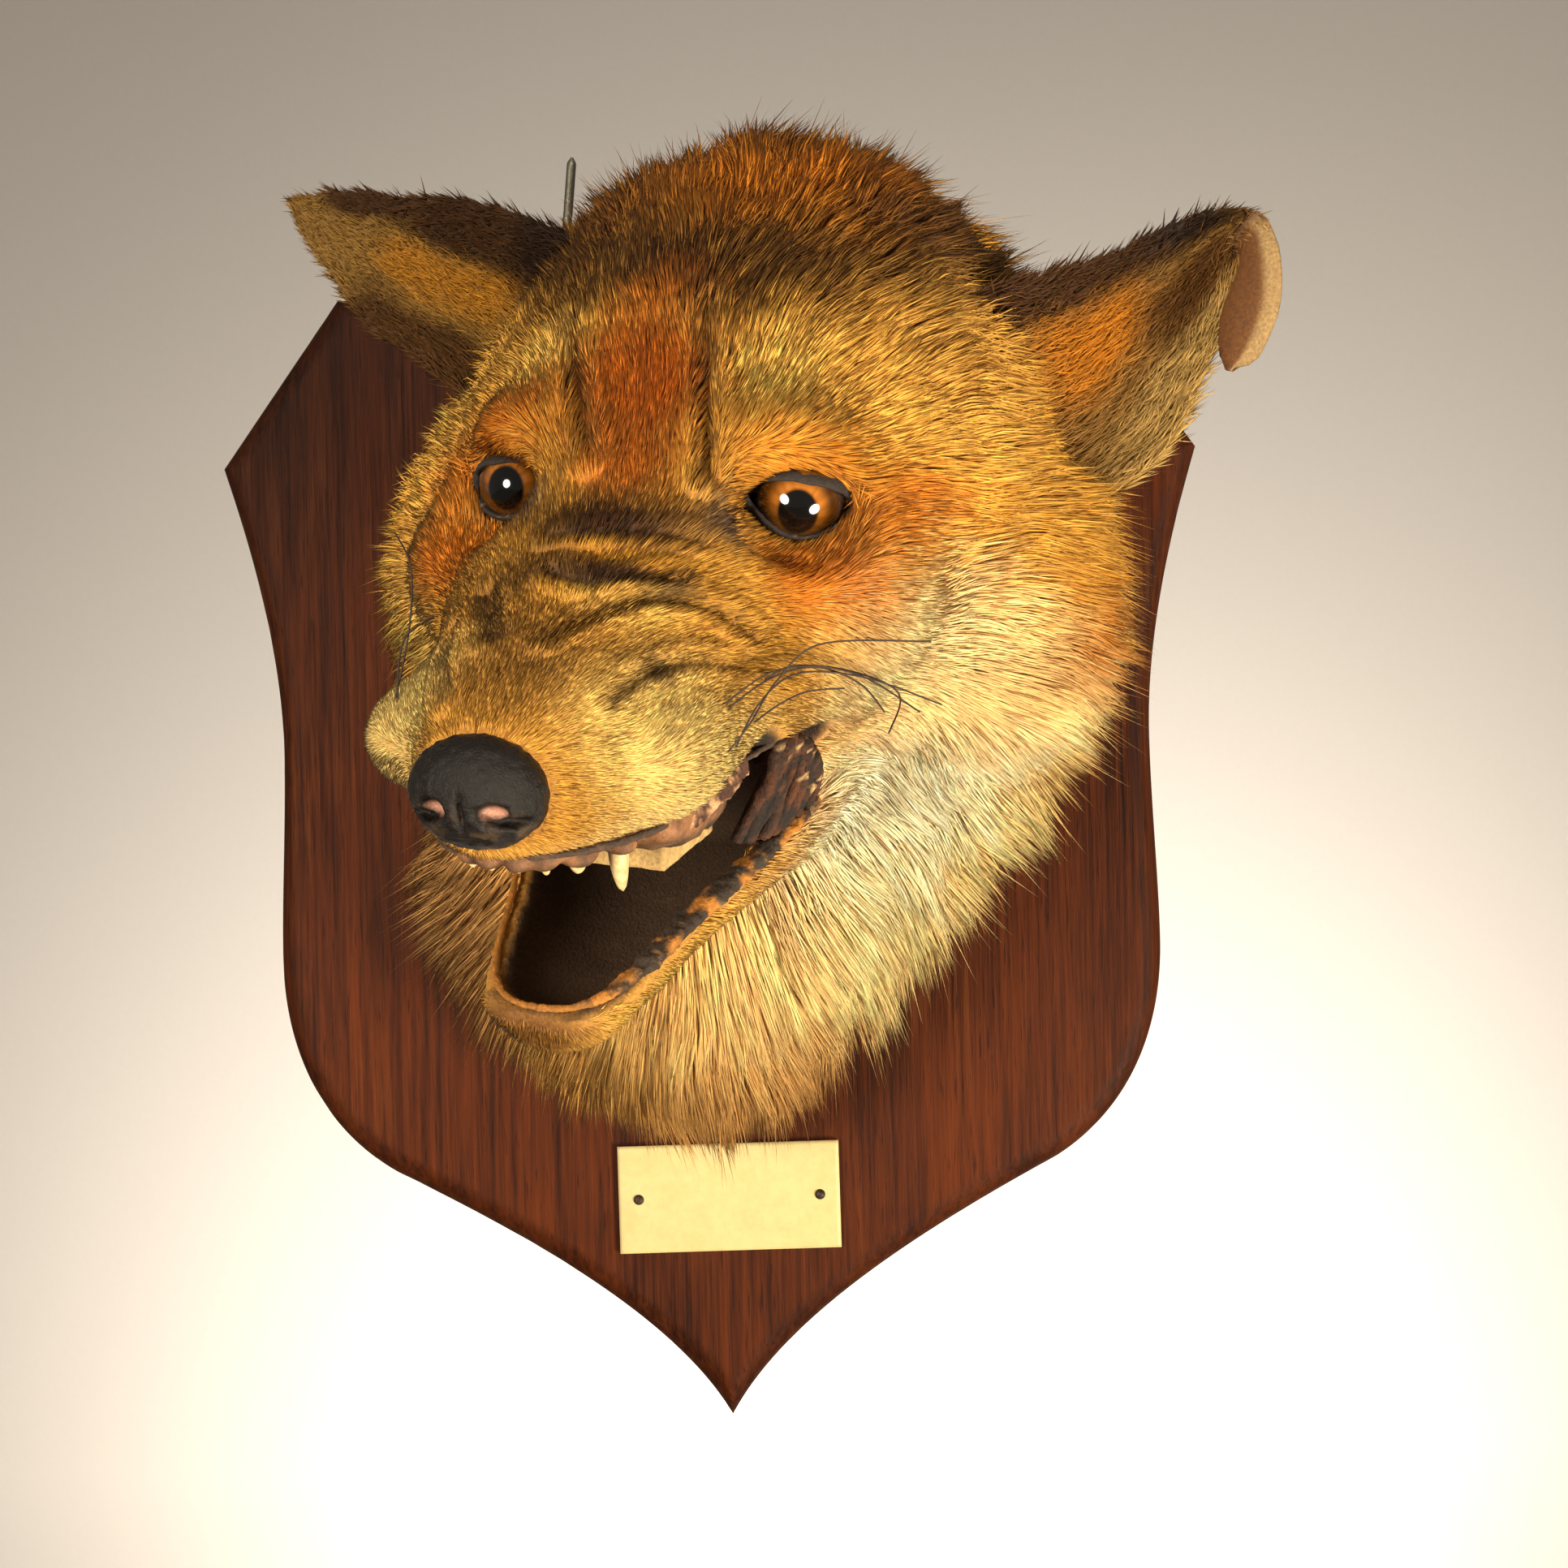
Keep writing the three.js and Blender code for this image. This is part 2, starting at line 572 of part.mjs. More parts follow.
// Two open pieces as one geometry of positions and triangles
function joined(first, second) {
  const bare = new THREE.BufferGeometry();
  const positions = [first, second].map((g) => g.toNonIndexed().getAttribute('position').array);
  bare.setAttribute('position', new THREE.BufferAttribute(
    new Float32Array([...positions[0], ...positions[1]]), 3));
  bare.setIndex([...Array(bare.getAttribute('position').count).keys()]);
  return bare;
}

// ---------------------------------------------------------------- scene graph

function mesh(name, shape, color, roughness = 0.9, metalness = 0) {
  const geometry = shape.isBufferGeometry ? shape : toGeometry(shape);
  const part = new THREE.Mesh(geometry, new THREE.MeshStandardMaterial(
    { color, roughness, metalness }));
  part.name = name;
  return part;
}

const group = new THREE.Group();

group.add(mesh('shield', buildShield(), 0x4a1d12, 0.45));

const plate = new THREE.Group();
plate.position.set(PLATE_X, -SHIELD_THICKNESS - GAP, PLATE_Z);
plate.rotation.y = degToRad(PLATE_TILT);
plate.add(mesh('label_plate', buildPlate(), 0xe6d9a6, 0.5));
for (const [name, side] of [['plate_pin_left', -1], ['plate_pin_right', 1]]) {
  const pin = mesh(name, buildPin(), 0x3a2a1c, 0.5, 0.8);
  pin.position.set((side * PIN_SPACING) / 2, -PLATE_THICKNESS - GAP, 0);
  plate.add(pin);
}
group.add(plate);

group.add(mesh('hanging_rod', buildRod(), 0x6a6a58, 0.5, 0.9));
group.add(mesh('neck', buildNeck(), 0xc79a55));

const head = new THREE.Group();
head.position.copy(HEAD_AT);
head.rotation.setFromRotationMatrix(headMatrix);
const { cranium, muzzle } = splitSkull(buildSkull());
head.add(mesh('head', cranium, 0xb5793a));
head.add(mesh('muzzle', muzzle, 0xb98a45));
head.add(mesh('lower_jaw', buildJaw(), 0xc9a566));
head.add(mesh('nose', noseShape(0), 0x16130f, 0.5));
head.add(mesh('palate_teeth', buildPalate(), 0xb08a66, 0.6));
const board = new THREE.BoxGeometry(BOARD.width, BOARD.depth, BOARD.height);
board.translate(BOARD.x, BOARD.front + BOARD.depth / 2, FILLER_FLOOR - GAP - BOARD.height / 2);
head.add(mesh('mouth_board', board, 0xb9a06c, 0.8));
head.add(mesh('ear_left', buildEar(EAR_LEFT, 1), 0xa8732f));
head.add(mesh('ear_right', buildEar(EAR_RIGHT, -1), 0xa8732f));
head.add(mesh('eye_left', eyeBall(-1, 0), 0x8a4b12, 0.1));
head.add(mesh('eye_right', eyeBall(1, 0), 0x8a4b12, 0.1));
group.add(head);

export default group;
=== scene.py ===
"""Old hunting trophy: the mask of a red fox with open jaws on a carved oak wall shield.

Lengths are millimetres inside the classes and metres once a mesh is handed to Blender. The
row frame is the part's own: the origin at the centre of the shield's back face, +X to the
viewer's right, +Y into the wall and +Z up. The head frame has its origin between the eyes,
-Y along the muzzle and +Z out of the forehead.
"""

import logging
import math
from dataclasses import dataclass, field, fields
from enum import Enum
from typing import Callable, Sequence

import bpy
import numpy as np
from mathutils import Matrix, Vector
from mathutils.geometry import delaunay_2d_cdt
from mathutils.kdtree import KDTree


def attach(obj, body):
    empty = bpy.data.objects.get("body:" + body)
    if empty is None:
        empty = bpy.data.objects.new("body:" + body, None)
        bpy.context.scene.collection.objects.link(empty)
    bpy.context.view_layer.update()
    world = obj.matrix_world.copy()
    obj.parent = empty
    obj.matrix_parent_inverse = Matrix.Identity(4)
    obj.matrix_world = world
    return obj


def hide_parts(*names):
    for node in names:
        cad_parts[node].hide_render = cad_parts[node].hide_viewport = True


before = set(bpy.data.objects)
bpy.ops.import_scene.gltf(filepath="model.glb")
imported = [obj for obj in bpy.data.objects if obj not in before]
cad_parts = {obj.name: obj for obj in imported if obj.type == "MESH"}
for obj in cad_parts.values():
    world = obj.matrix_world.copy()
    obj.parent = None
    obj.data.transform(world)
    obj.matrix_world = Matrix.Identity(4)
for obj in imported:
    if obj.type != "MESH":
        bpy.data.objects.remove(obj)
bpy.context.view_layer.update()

log = logging.getLogger("trophy")
Array = np.ndarray
Field = Callable[[Array], Array]
Point = tuple[float, float, float]
Flat = tuple[float, float]
Colour = tuple[float, float, float]

MM = 0.001


# ------------------------------------------------------------------------- small maths

def smooth_step(low: float, high: float, value: Array) -> Array:
    """Nought below low, one above high and an S between them."""
    t = np.clip((value - low) / (high - low), 0.0, 1.0)
    return t * t * (3.0 - 2.0 * t)


def smooth_min(a: Array, b: Array, blend: float) -> Array:
    """Union of two fields with a fillet about blend wide."""
    share = np.clip(0.5 + 0.5 * (b - a) / blend, 0.0, 1.0)
    return b * (1.0 - share) + a * share - blend * share * (1.0 - share)


def smooth_max(a: Array, b: Array, blend: float) -> Array:
    """Intersection of two fields with a rounded edge about blend wide."""
    return -smooth_min(-a, -b, blend)


def unit(vectors: Array) -> Array:
    """The vectors at length one."""
    return vectors / np.maximum(np.linalg.norm(vectors, axis=-1, keepdims=True), 1e-9)


def dot(a: Array, b: Array) -> Array:
    """Row by row scalar product, kept as a column."""
    return (a * b).sum(-1, keepdims=True)


def tinted(base: Array | Colour, top: Array | Colour, share: Array) -> Array:
    """One colour with another laid over it by a share, nought to one."""
    return np.array(base) * (1 - share) + np.array(top) * share


def leaning(aim: Array, normal: Array, lift: Array) -> Array:
    """Directions that follow an aim along a surface and rise from it.

    Args:
        aim: where to point, (n, 3).
        normal: unit normals of the surface.
        lift: angle over the surface in radians, as a column.

    Returns:
        Unit directions.
    """
    tangent = unit(aim - normal * dot(aim, normal))
    return tangent * np.cos(lift) + normal * np.sin(lift)


def rotation(axis: str, degrees: float) -> Array:
    """Right-handed rotation matrix about one axis."""
    return np.array(Matrix.Rotation(math.radians(degrees), 3, axis))


def mirrored(p: Array) -> Array:
    """Points folded over onto +X."""
    side = p.copy()
    side[..., 0] = np.abs(side[..., 0])
    return side


def ellipsoid(p: Array, centre: Point, radii: Point) -> Array:
    """Near-distance to an ellipsoid, negative inside."""
    q = (p - np.array(centre)) / np.array(radii)
    length = np.linalg.norm(q, axis=-1)
    slope = np.linalg.norm(q / np.array(radii), axis=-1)
    return length * (length - 1.0) / np.maximum(slope, 1e-9)


def spindle(p: Array, centre: Point, radii: Point, power: float) -> Array:
    """An ellipsoid whose sides run straighter to its poles than a ball's."""
    q = np.abs((p - np.array(centre)) / np.array(radii))
    return ((q ** power).sum(-1) ** (1.0 / power) - 1.0) * min(radii)


def section_curve(places: Array, values: Array, at: Array) -> Array:
    """Monotone cubic through the values at the places, read at other places."""
    steps = np.diff(values) / np.diff(places)
    product = steps[:-1] * steps[1:]
    total = np.where(product > 0, steps[:-1] + steps[1:], 1.0)
    inner = np.where(product > 0, 2 * product / total, 0.0)
    slopes = np.concatenate([steps[:1], inner, steps[-1:]])
    x = np.clip(at, places[0], places[-1])
    i = np.clip(np.searchsorted(places, x) - 1, 0, len(places) - 2)
    h = places[i + 1] - places[i]
    t = (x - places[i]) / h
    rise = (2 * t**3 - 3 * t**2 + 1) * values[i] + (3 * t**2 - 2 * t**3) * values[i + 1]
    bend = (t**3 - 2 * t**2 + t) * slopes[i] + (t**3 - t**2) * slopes[i + 1]
    return rise + h * bend


def loft(p: Array, sections: Array) -> Array:
    """Body lofted along Y through superellipse sections.

    Args:
        p: points, (..., 3).
        sections: rows of y, half width, top, bottom, widest level and power.

    Returns:
        A field, negative inside.
    """
    half, top, bottom, middle, power = (
        section_curve(sections[:, 0], sections[:, c], p[..., 1]) for c in range(1, 6))
    height = np.where(p[..., 2] > middle, top - middle, middle - bottom)
    across = np.abs(p[..., 0] / half) ** power
    ring = (across + np.abs((p[..., 2] - middle) / height) ** power) ** (1.0 / power)
    end = np.maximum(sections[0, 0] - p[..., 1], p[..., 1] - sections[-1, 0])
    return np.maximum((ring - 1.0) * np.minimum(half, height), end)


def spline(points: Sequence[Sequence[float]], count: int) -> Array:
    """Catmull-Rom curve through the points, read at count even steps."""
    p = np.array(points, float)
    p = np.vstack([2 * p[0] - p[1], p, 2 * p[-1] - p[-2]])
    t = np.linspace(0, len(points) - 1, count)
    i = np.minimum(t.astype(int), len(points) - 2)
    f = (t - i)[:, None]
    a, b, c, d = p[i], p[i + 1], p[i + 2], p[i + 3]
    cubic = (3 * b - a - 3 * c + d) * f**3
    return 0.5 * (2 * b + (c - a) * f + (2 * a - 5 * b + 4 * c - d) * f**2 + cubic)


def polygon_distance(points: Array, polygon: Array) -> Array:
    """Distance to a closed outline in the plane, negative inside it."""
    best = np.full(points.shape[:-1], np.inf)
    inside = np.zeros(points.shape[:-1], bool)
    for start, end in zip(polygon, np.roll(polygon, -1, axis=0)):
        edge = end - start
        w = points - start
        t = np.clip((w @ edge) / (edge @ edge), 0, 1)
        best = np.minimum(best, ((w - t[..., None] * edge) ** 2).sum(-1))
        crosses = (end[1] > points[..., 1]) != (start[1] > points[..., 1])
        if edge[1] != 0:
            inside ^= crosses & (w[..., 0] < w[..., 1] * edge[0] / edge[1])
    distance = np.sqrt(best)
    return np.where(inside, -distance, distance)


def path_distance(p: Array, path: Array) -> Array:
    """Distance from each point to an open path in space."""
    best = np.full(len(p), np.inf)
    for start, end in zip(path[:-1], path[1:]):
        edge = end - start
        t = np.clip((p - start) @ edge / (edge @ edge), 0, 1)
        best = np.minimum(best, ((p - start - t[:, None] * edge) ** 2).sum(-1))
    return np.sqrt(best)


def noise(p: Array, size: float, seed: int) -> Array:
    """Smooth noise between -1 and 1 with features about size across."""
    q = p / size + seed * 17.31
    cell = np.floor(q).astype(np.int64)
    f = q - cell
    f = f * f * (3 - 2 * f)
    total = np.zeros(p.shape[:-1])
    for corner in np.ndindex(2, 2, 2):
        at = cell + np.array(corner)
        mixed = at[..., 0] * 73856093 ^ at[..., 1] * 19349663 ^ at[..., 2] * 83492791
        mixed = (mixed ^ (mixed >> 13)) * 1274126177
        value = ((mixed ^ (mixed >> 16)) & 0xFFFF) / 32767.5 - 1.0
        weight = np.ones(p.shape[:-1])
        for axis, end in enumerate(corner):
            weight = weight * (f[..., axis] if end else 1 - f[..., axis])
        total += value * weight
    return total


def rough(p: Array, size: float, seed: int) -> Array:
    """Three octaves of noise, about -1 to 1."""
    return (noise(p, size, seed) + 0.5 * noise(p, size / 2.1, seed + 1)
            + 0.25 * noise(p, size / 4.3, seed + 2)) / 1.5


def drift(p: Array, size: float, *seeds: int) -> Array:
    """Noises side by side, as a vector at each point."""
    return np.stack([noise(p, size, seed) for seed in seeds], -1)


@dataclass(frozen=True)
class Placement:
    """A rigid placement of one frame in another."""

    turn: Array
    at: Array

    def outward(self, p: Array) -> Array:
        """Points of this frame as its parent sees them."""
        return p @ self.turn.T + self.at

    def inward(self, p: Array) -> Array:
        """Points of the parent as this frame sees them."""
        return (p - self.at) @ self.turn

    def direct(self, v: Array) -> Array:
        """Directions of this frame as its parent sees them."""
        return v @ self.turn.T


# ------------------------------------------------------------------------- meshes

@dataclass
class Shell:
    """Vertices in millimetres with faces of three or four corners."""

    vertices: Array
    faces: Array
    colours: Array | None = None

    def __add__(self, other: "Shell") -> "Shell":
        """Both shells as one."""
        colours = None
        if self.colours is not None and other.colours is not None:
            colours = np.vstack([self.colours, other.colours])
        faces = np.vstack([as_quads(self.faces), as_quads(other.faces) + len(self.vertices)])
        return Shell(np.vstack([self.vertices, other.vertices]), faces, colours)

    def normals(self) -> Array:
        """Vertex normals, weighted by area."""
        v, f = self.vertices, as_quads(self.faces)
        across = np.cross(v[f[:, 2]] - v[f[:, 0]], v[f[:, 3]] - v[f[:, 1]])
        total = np.zeros_like(v)
        for corner in range(4):
            np.add.at(total, f[:, corner], across)
        return unit(total)

    def triangles(self) -> Array:
        """The faces cut into triangles."""
        f = as_quads(self.faces)
        halves = np.vstack([f[:, [0, 1, 2]], f[:, [0, 2, 3]]])
        return halves[halves[:, 1] != halves[:, 2]]


def as_quads(faces: Array) -> Array:
    """Triangles as quads that repeat their last corner."""
    if faces.shape[1] == 4:
        return faces
    return np.hstack([faces, faces[:, 2:3]])


def lattice(bands: int, cells: int, row: int) -> Array:
    """Quads between the points of a grid.

    Args:
        bands: bands of quads.
        cells: quads in a band.
        row: points in a row. A band of as many quads closes on itself.

    Returns:
        Four indices a quad.
    """
    i, k = (part.ravel() for part in np.meshgrid(np.arange(bands), np.arange(cells),
                                                 indexing="ij"))
    here = i * row + k
    after = i * row + (k + 1) % row
    return np.stack([here, after, after + row, here + row], 1)


def tube(path: Array, radii: Array, sides: int, up: Point = (0, 0, 1)) -> Shell:
    """Closed round tube along a path.

    Args:
        path: centres, (n, 3).
        radii: one radius a centre, or (n, 2) for width and height.
        sides: corners round each ring.
        up: direction the height is measured along.

    Returns:
        The tube with a point at each end.
    """
    radii = np.array(radii, float)
    if radii.ndim == 1:
        radii = np.stack([radii, radii], 1)
    ahead = unit(np.gradient(path, axis=0))
    across = unit(np.cross(ahead, np.array(up, float)))
    lift = np.cross(across, ahead)
    angle = np.arange(sides) / sides * math.tau
    ring = (across[:, None] * np.cos(angle)[None, :, None] * radii[:, None, :1]
            + lift[:, None] * np.sin(angle)[None, :, None] * radii[:, None, 1:])
    body = (path[:, None] + ring).reshape(-1, 3)
    vertices = np.vstack([body, path[:1], path[-1:]])
    n = len(path)
    faces = lattice(n - 1, sides, sides)
    k = np.arange(sides)
    follow = (k + 1) % sides
    start = np.stack([k * 0 + len(body), follow, k, k], 1)
    last = (n - 1) * sides
    end = np.stack([k * 0 + len(body) + 1, last + k, last + follow, last + follow], 1)
    return Shell(vertices, np.vstack([faces, start, end])[:, ::-1])


def build(name: str, shell: Shell, material: bpy.types.Material, smooth: bool = True,
          uv: dict[str, Array] | None = None) -> bpy.types.Object:
    """Makes a Blender object from a shell.

    Args:
        name: the piece's name.
        shell: its shape in millimetres, in the row frame.
        material: its finish.
        smooth: whether its faces shade smoothly.
        uv: UV maps by name, one pair a vertex.

    Returns:
        The object, linked to the scene.
    """
    quads = as_quads(shell.faces)
    three = quads[:, 2] == quads[:, 3]
    sizes = np.where(three, 3, 4)
    corners = quads[np.arange(4)[None, :] < sizes[:, None]]
    mesh = bpy.data.meshes.new(name)
    mesh.vertices.add(len(shell.vertices))
    mesh.vertices.foreach_set("co", (shell.vertices * MM).astype(np.float32).ravel())
    mesh.loops.add(len(corners))
    mesh.loops.foreach_set("vertex_index", corners.astype(np.int32))
    mesh.polygons.add(len(quads))
    starts = np.concatenate([[0], np.cumsum(sizes)[:-1]])
    mesh.polygons.foreach_set("loop_start", starts.astype(np.int32))
    mesh.update(calc_edges=True)
    if smooth:
        mesh.shade_smooth()
    else:
        mesh.shade_flat()
    if shell.colours is not None:
        layer = mesh.color_attributes.new(name="Tint", type="FLOAT_COLOR", domain="POINT")
        rgba = np.hstack([shell.colours, np.ones((len(shell.colours), 1))])
        layer.data.foreach_set("color", rgba.astype(np.float32).ravel())
    for map_name, pairs in (uv or {}).items():
        layer = mesh.uv_layers.new(name=map_name)
        layer.data.foreach_set("uv", pairs[corners].astype(np.float32).ravel())
    mesh.materials.append(material)
    piece = bpy.data.objects.new(name, mesh)
    bpy.context.scene.collection.objects.link(piece)
    return piece


def plain(name: str, vertices: list, edges: list, faces: list) -> bpy.types.Object:
    """Links an object made straight from points in metres, edges and faces."""
    mesh = bpy.data.meshes.new(name)
    mesh.from_pydata(vertices, edges, faces)
    piece = bpy.data.objects.new(name, mesh)
    bpy.context.scene.collection.objects.link(piece)
    return piece


def freeze(piece: bpy.types.Object) -> bpy.types.Object:
    """Turns a modified object into a plain mesh."""
    graph = bpy.context.evaluated_depsgraph_get()
    made = bpy.data.meshes.new_from_object(piece.evaluated_get(graph), depsgraph=graph)
    piece.modifiers.clear()
    piece.data = made
    return piece


class Recipe:
    """A geometry node group with named inputs, run once on a piece."""

    def __init__(self, name: str, **kinds: str) -> None:
        """Starts a group.

        Args:
            name: the group's name.
            kinds: the socket kind of each named input.
        """
        self.group = bpy.data.node_groups.new(name, "GeometryNodeTree")
        face = self.group.interface.new_socket
        self.named = {key: face(key, in_out="INPUT", socket_type=f"NodeSocket{kind}").identifier
                      for key, kind in kinds.items()}
        face("Geometry", in_out="OUTPUT", socket_type="NodeSocketGeometry")
        self.start = self.group.nodes.new("NodeGroupInput")

    def given(self, name: str) -> bpy.types.NodeSocket:
        """A named input as the nodes see it."""
        return self.start.outputs[name]

    def node(self, kind: str, inputs: dict[str | int, object],
             **settings: object) -> bpy.types.NodeSocket:
        """Adds a node.

        Args:
            kind: its Blender type name.
            inputs: values or sockets by input name or number.
            settings: properties of the node itself.

        Returns:
            Its first output.
        """
        made = self.group.nodes.new(kind)
        for key, value in settings.items():
            setattr(made, key, value)
        for key, value in inputs.items():
            if isinstance(value, bpy.types.NodeSocket):
                self.group.links.new(value, made.inputs[key])
            else:
                made.inputs[key].default_value = value
        return made.outputs[0]

    def run(self, piece: bpy.types.Object, shape: bpy.types.NodeSocket,
            material: bpy.types.Material, **values: object) -> bpy.types.Object:
        """Runs the group on a piece.

        Args:
            piece: the object with the points or lines.
            shape: the socket with the finished shape.
            material: its finish.
            values: what the named inputs hold.

        Returns:
            The piece as a plain mesh.
        """
        real = self.node("GeometryNodeRealizeInstances", {"Geometry": shape})
        done = self.node("GeometryNodeSetMaterial", {"Geometry": real, "Material": material})
        end = self.group.nodes.new("NodeGroupOutput")
        self.group.links.new(done, end.inputs["Geometry"])
        modifier = piece.modifiers.new(self.group.name, "NODES")
        modifier.node_group = self.group
        for key, value in values.items():
            modifier[self.named[key]] = value
        return freeze(piece)


def place(piece: bpy.types.Object, slot: str, *nodes: str) -> bpy.types.Object:
    """Lets a finished piece ride on the trophy and hides the nodes it stands for; the slot is not
    used.
    """
    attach(piece, "root")
    if nodes:
        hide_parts(*nodes)
    log.info("%s: %d faces", piece.name, len(piece.data.polygons))
    return piece


def surface_nets(level: Field, low: Array, high: Array, step: float, coarse: int = 4,
                 reach: float = 3.5) -> Shell:
    """Skins the zero of a field with quads.

    Args:
        level: the field, negative inside.
        low: lowest corner of the box looked through.
        high: its highest corner.
        step: size of the quads.
        coarse: fine steps in a step of the first, coarse look.
        reach: how near zero a coarse value must be for a closer look.

    Returns:
        A closed shell whose faces look outward.
    """
    blocks = np.ceil((np.array(high) - low) / (step * coarse)).astype(int) + 1
    axes = [low[a] + step * coarse * np.arange(blocks[a] + 1) for a in range(3)]
    rough_points = np.stack(np.meshgrid(*axes, indexing="ij"), -1)
    seen = level(rough_points.reshape(-1, 3)).reshape(rough_points.shape[:-1])
    corners = [seen[tuple(slice(o, o + n) for o, n in zip(offset, blocks))]
               for offset in np.ndindex(2, 2, 2)]
    lowest, highest = np.min(corners, axis=0), np.max(corners, axis=0)
    values, live = seen[:-1, :-1, :-1], (lowest < reach) & (highest > -reach)
    fine = blocks * coarse
    for axis in range(3):
        values, live = np.repeat(values, coarse, axis), np.repeat(live, coarse, axis)
    where = np.argwhere(live)
    values[tuple(where.T)] = level(low + step * where)
    inside = values < 0
    count = np.zeros(fine - 1, np.int8)
    for offset in np.ndindex(2, 2, 2):
        count += inside[tuple(slice(o, o + n - 1) for o, n in zip(offset, fine))]
    active = (count > 0) & (count < 8)
    cells = np.argwhere(active)
    number = np.full(active.shape, -1, np.int64)
    number[active] = np.arange(len(cells))
    cube = np.array(list(np.ndindex(2, 2, 2)))
    at = np.stack([values[tuple((cells + c).T)] for c in cube], 1)
    place_sum = np.zeros((len(cells), 3))
    hits = np.zeros(len(cells))
    for a in range(8):
        for b in range(a + 1, 8):
            if np.abs(cube[a] - cube[b]).sum() != 1:
                continue
            cross = (at[:, a] < 0) != (at[:, b] < 0)
            t = np.where(cross, at[:, a] / np.where(cross, at[:, a] - at[:, b], 1), 0)
            place_sum += cross[:, None] * (cube[a] + t[:, None] * (cube[b] - cube[a]))
            hits += cross
    vertices = low + step * (cells + place_sum / hits[:, None])
    faces = []
    for axis in range(3):
        first, second = [slice(1, -1)] * 3, [slice(1, -1)] * 3
        first[axis], second[axis] = slice(0, -1), slice(1, None)
        here = inside[tuple(first)]
        edges = np.argwhere(here != inside[tuple(second)])
        leaving = here[tuple(edges.T)]
        shift = np.ones(3, int)
        shift[axis] = 0
        edges = edges + shift
        u, v = np.zeros(3, int), np.zeros(3, int)
        u[(axis + 1) % 3] = 1
        v[(axis + 2) % 3] = 1
        quad = np.stack([number[tuple((edges - move).T)] for move in (u + v, v, 0 * u, u)], 1)
        faces.append(np.where(leaving[:, None], quad, quad[:, ::-1]))
    return Shell(vertices, np.vstack(faces))


# ------------------------------------------------------------------------- finishes

class Sum:
    """A shader socket that takes part in Python arithmetic."""

    def __init__(self, tree: "Tree", socket: bpy.types.NodeSocket) -> None:
        """Wraps a socket of a node tree."""
        self.tree = tree
        self.socket = socket

    def __add__(self, other: "Sum | float") -> "Sum":
        """Sum of both."""
        return self.tree.maths("ADD", self, other)

    def __sub__(self, other: "Sum | float") -> "Sum":
        """Difference."""
        return self.tree.maths("SUBTRACT", self, other)

    def __mul__(self, other: "Sum | float") -> "Sum":
        """Product."""
        return self.tree.maths("MULTIPLY", self, other)

    def __radd__(self, other: float) -> "Sum":
        """A number plus this."""
        return self + other

    def __rsub__(self, other: float) -> "Sum":
        """A number less this."""
        return self * -1.0 + other

    def __rmul__(self, other: float) -> "Sum":
        """A number times this."""
        return self * other

    def clamp(self) -> "Sum":
        """Held between nought and one."""
        result = self.tree.maths("ADD", self, 0.0)
        result.socket.node.use_clamp = True
        return result

    def fit(self, low: float, high: float) -> "Sum":
        """Nought at low and one at high, held between."""
        return ((self - low) * (1.0 / (high - low))).clamp()


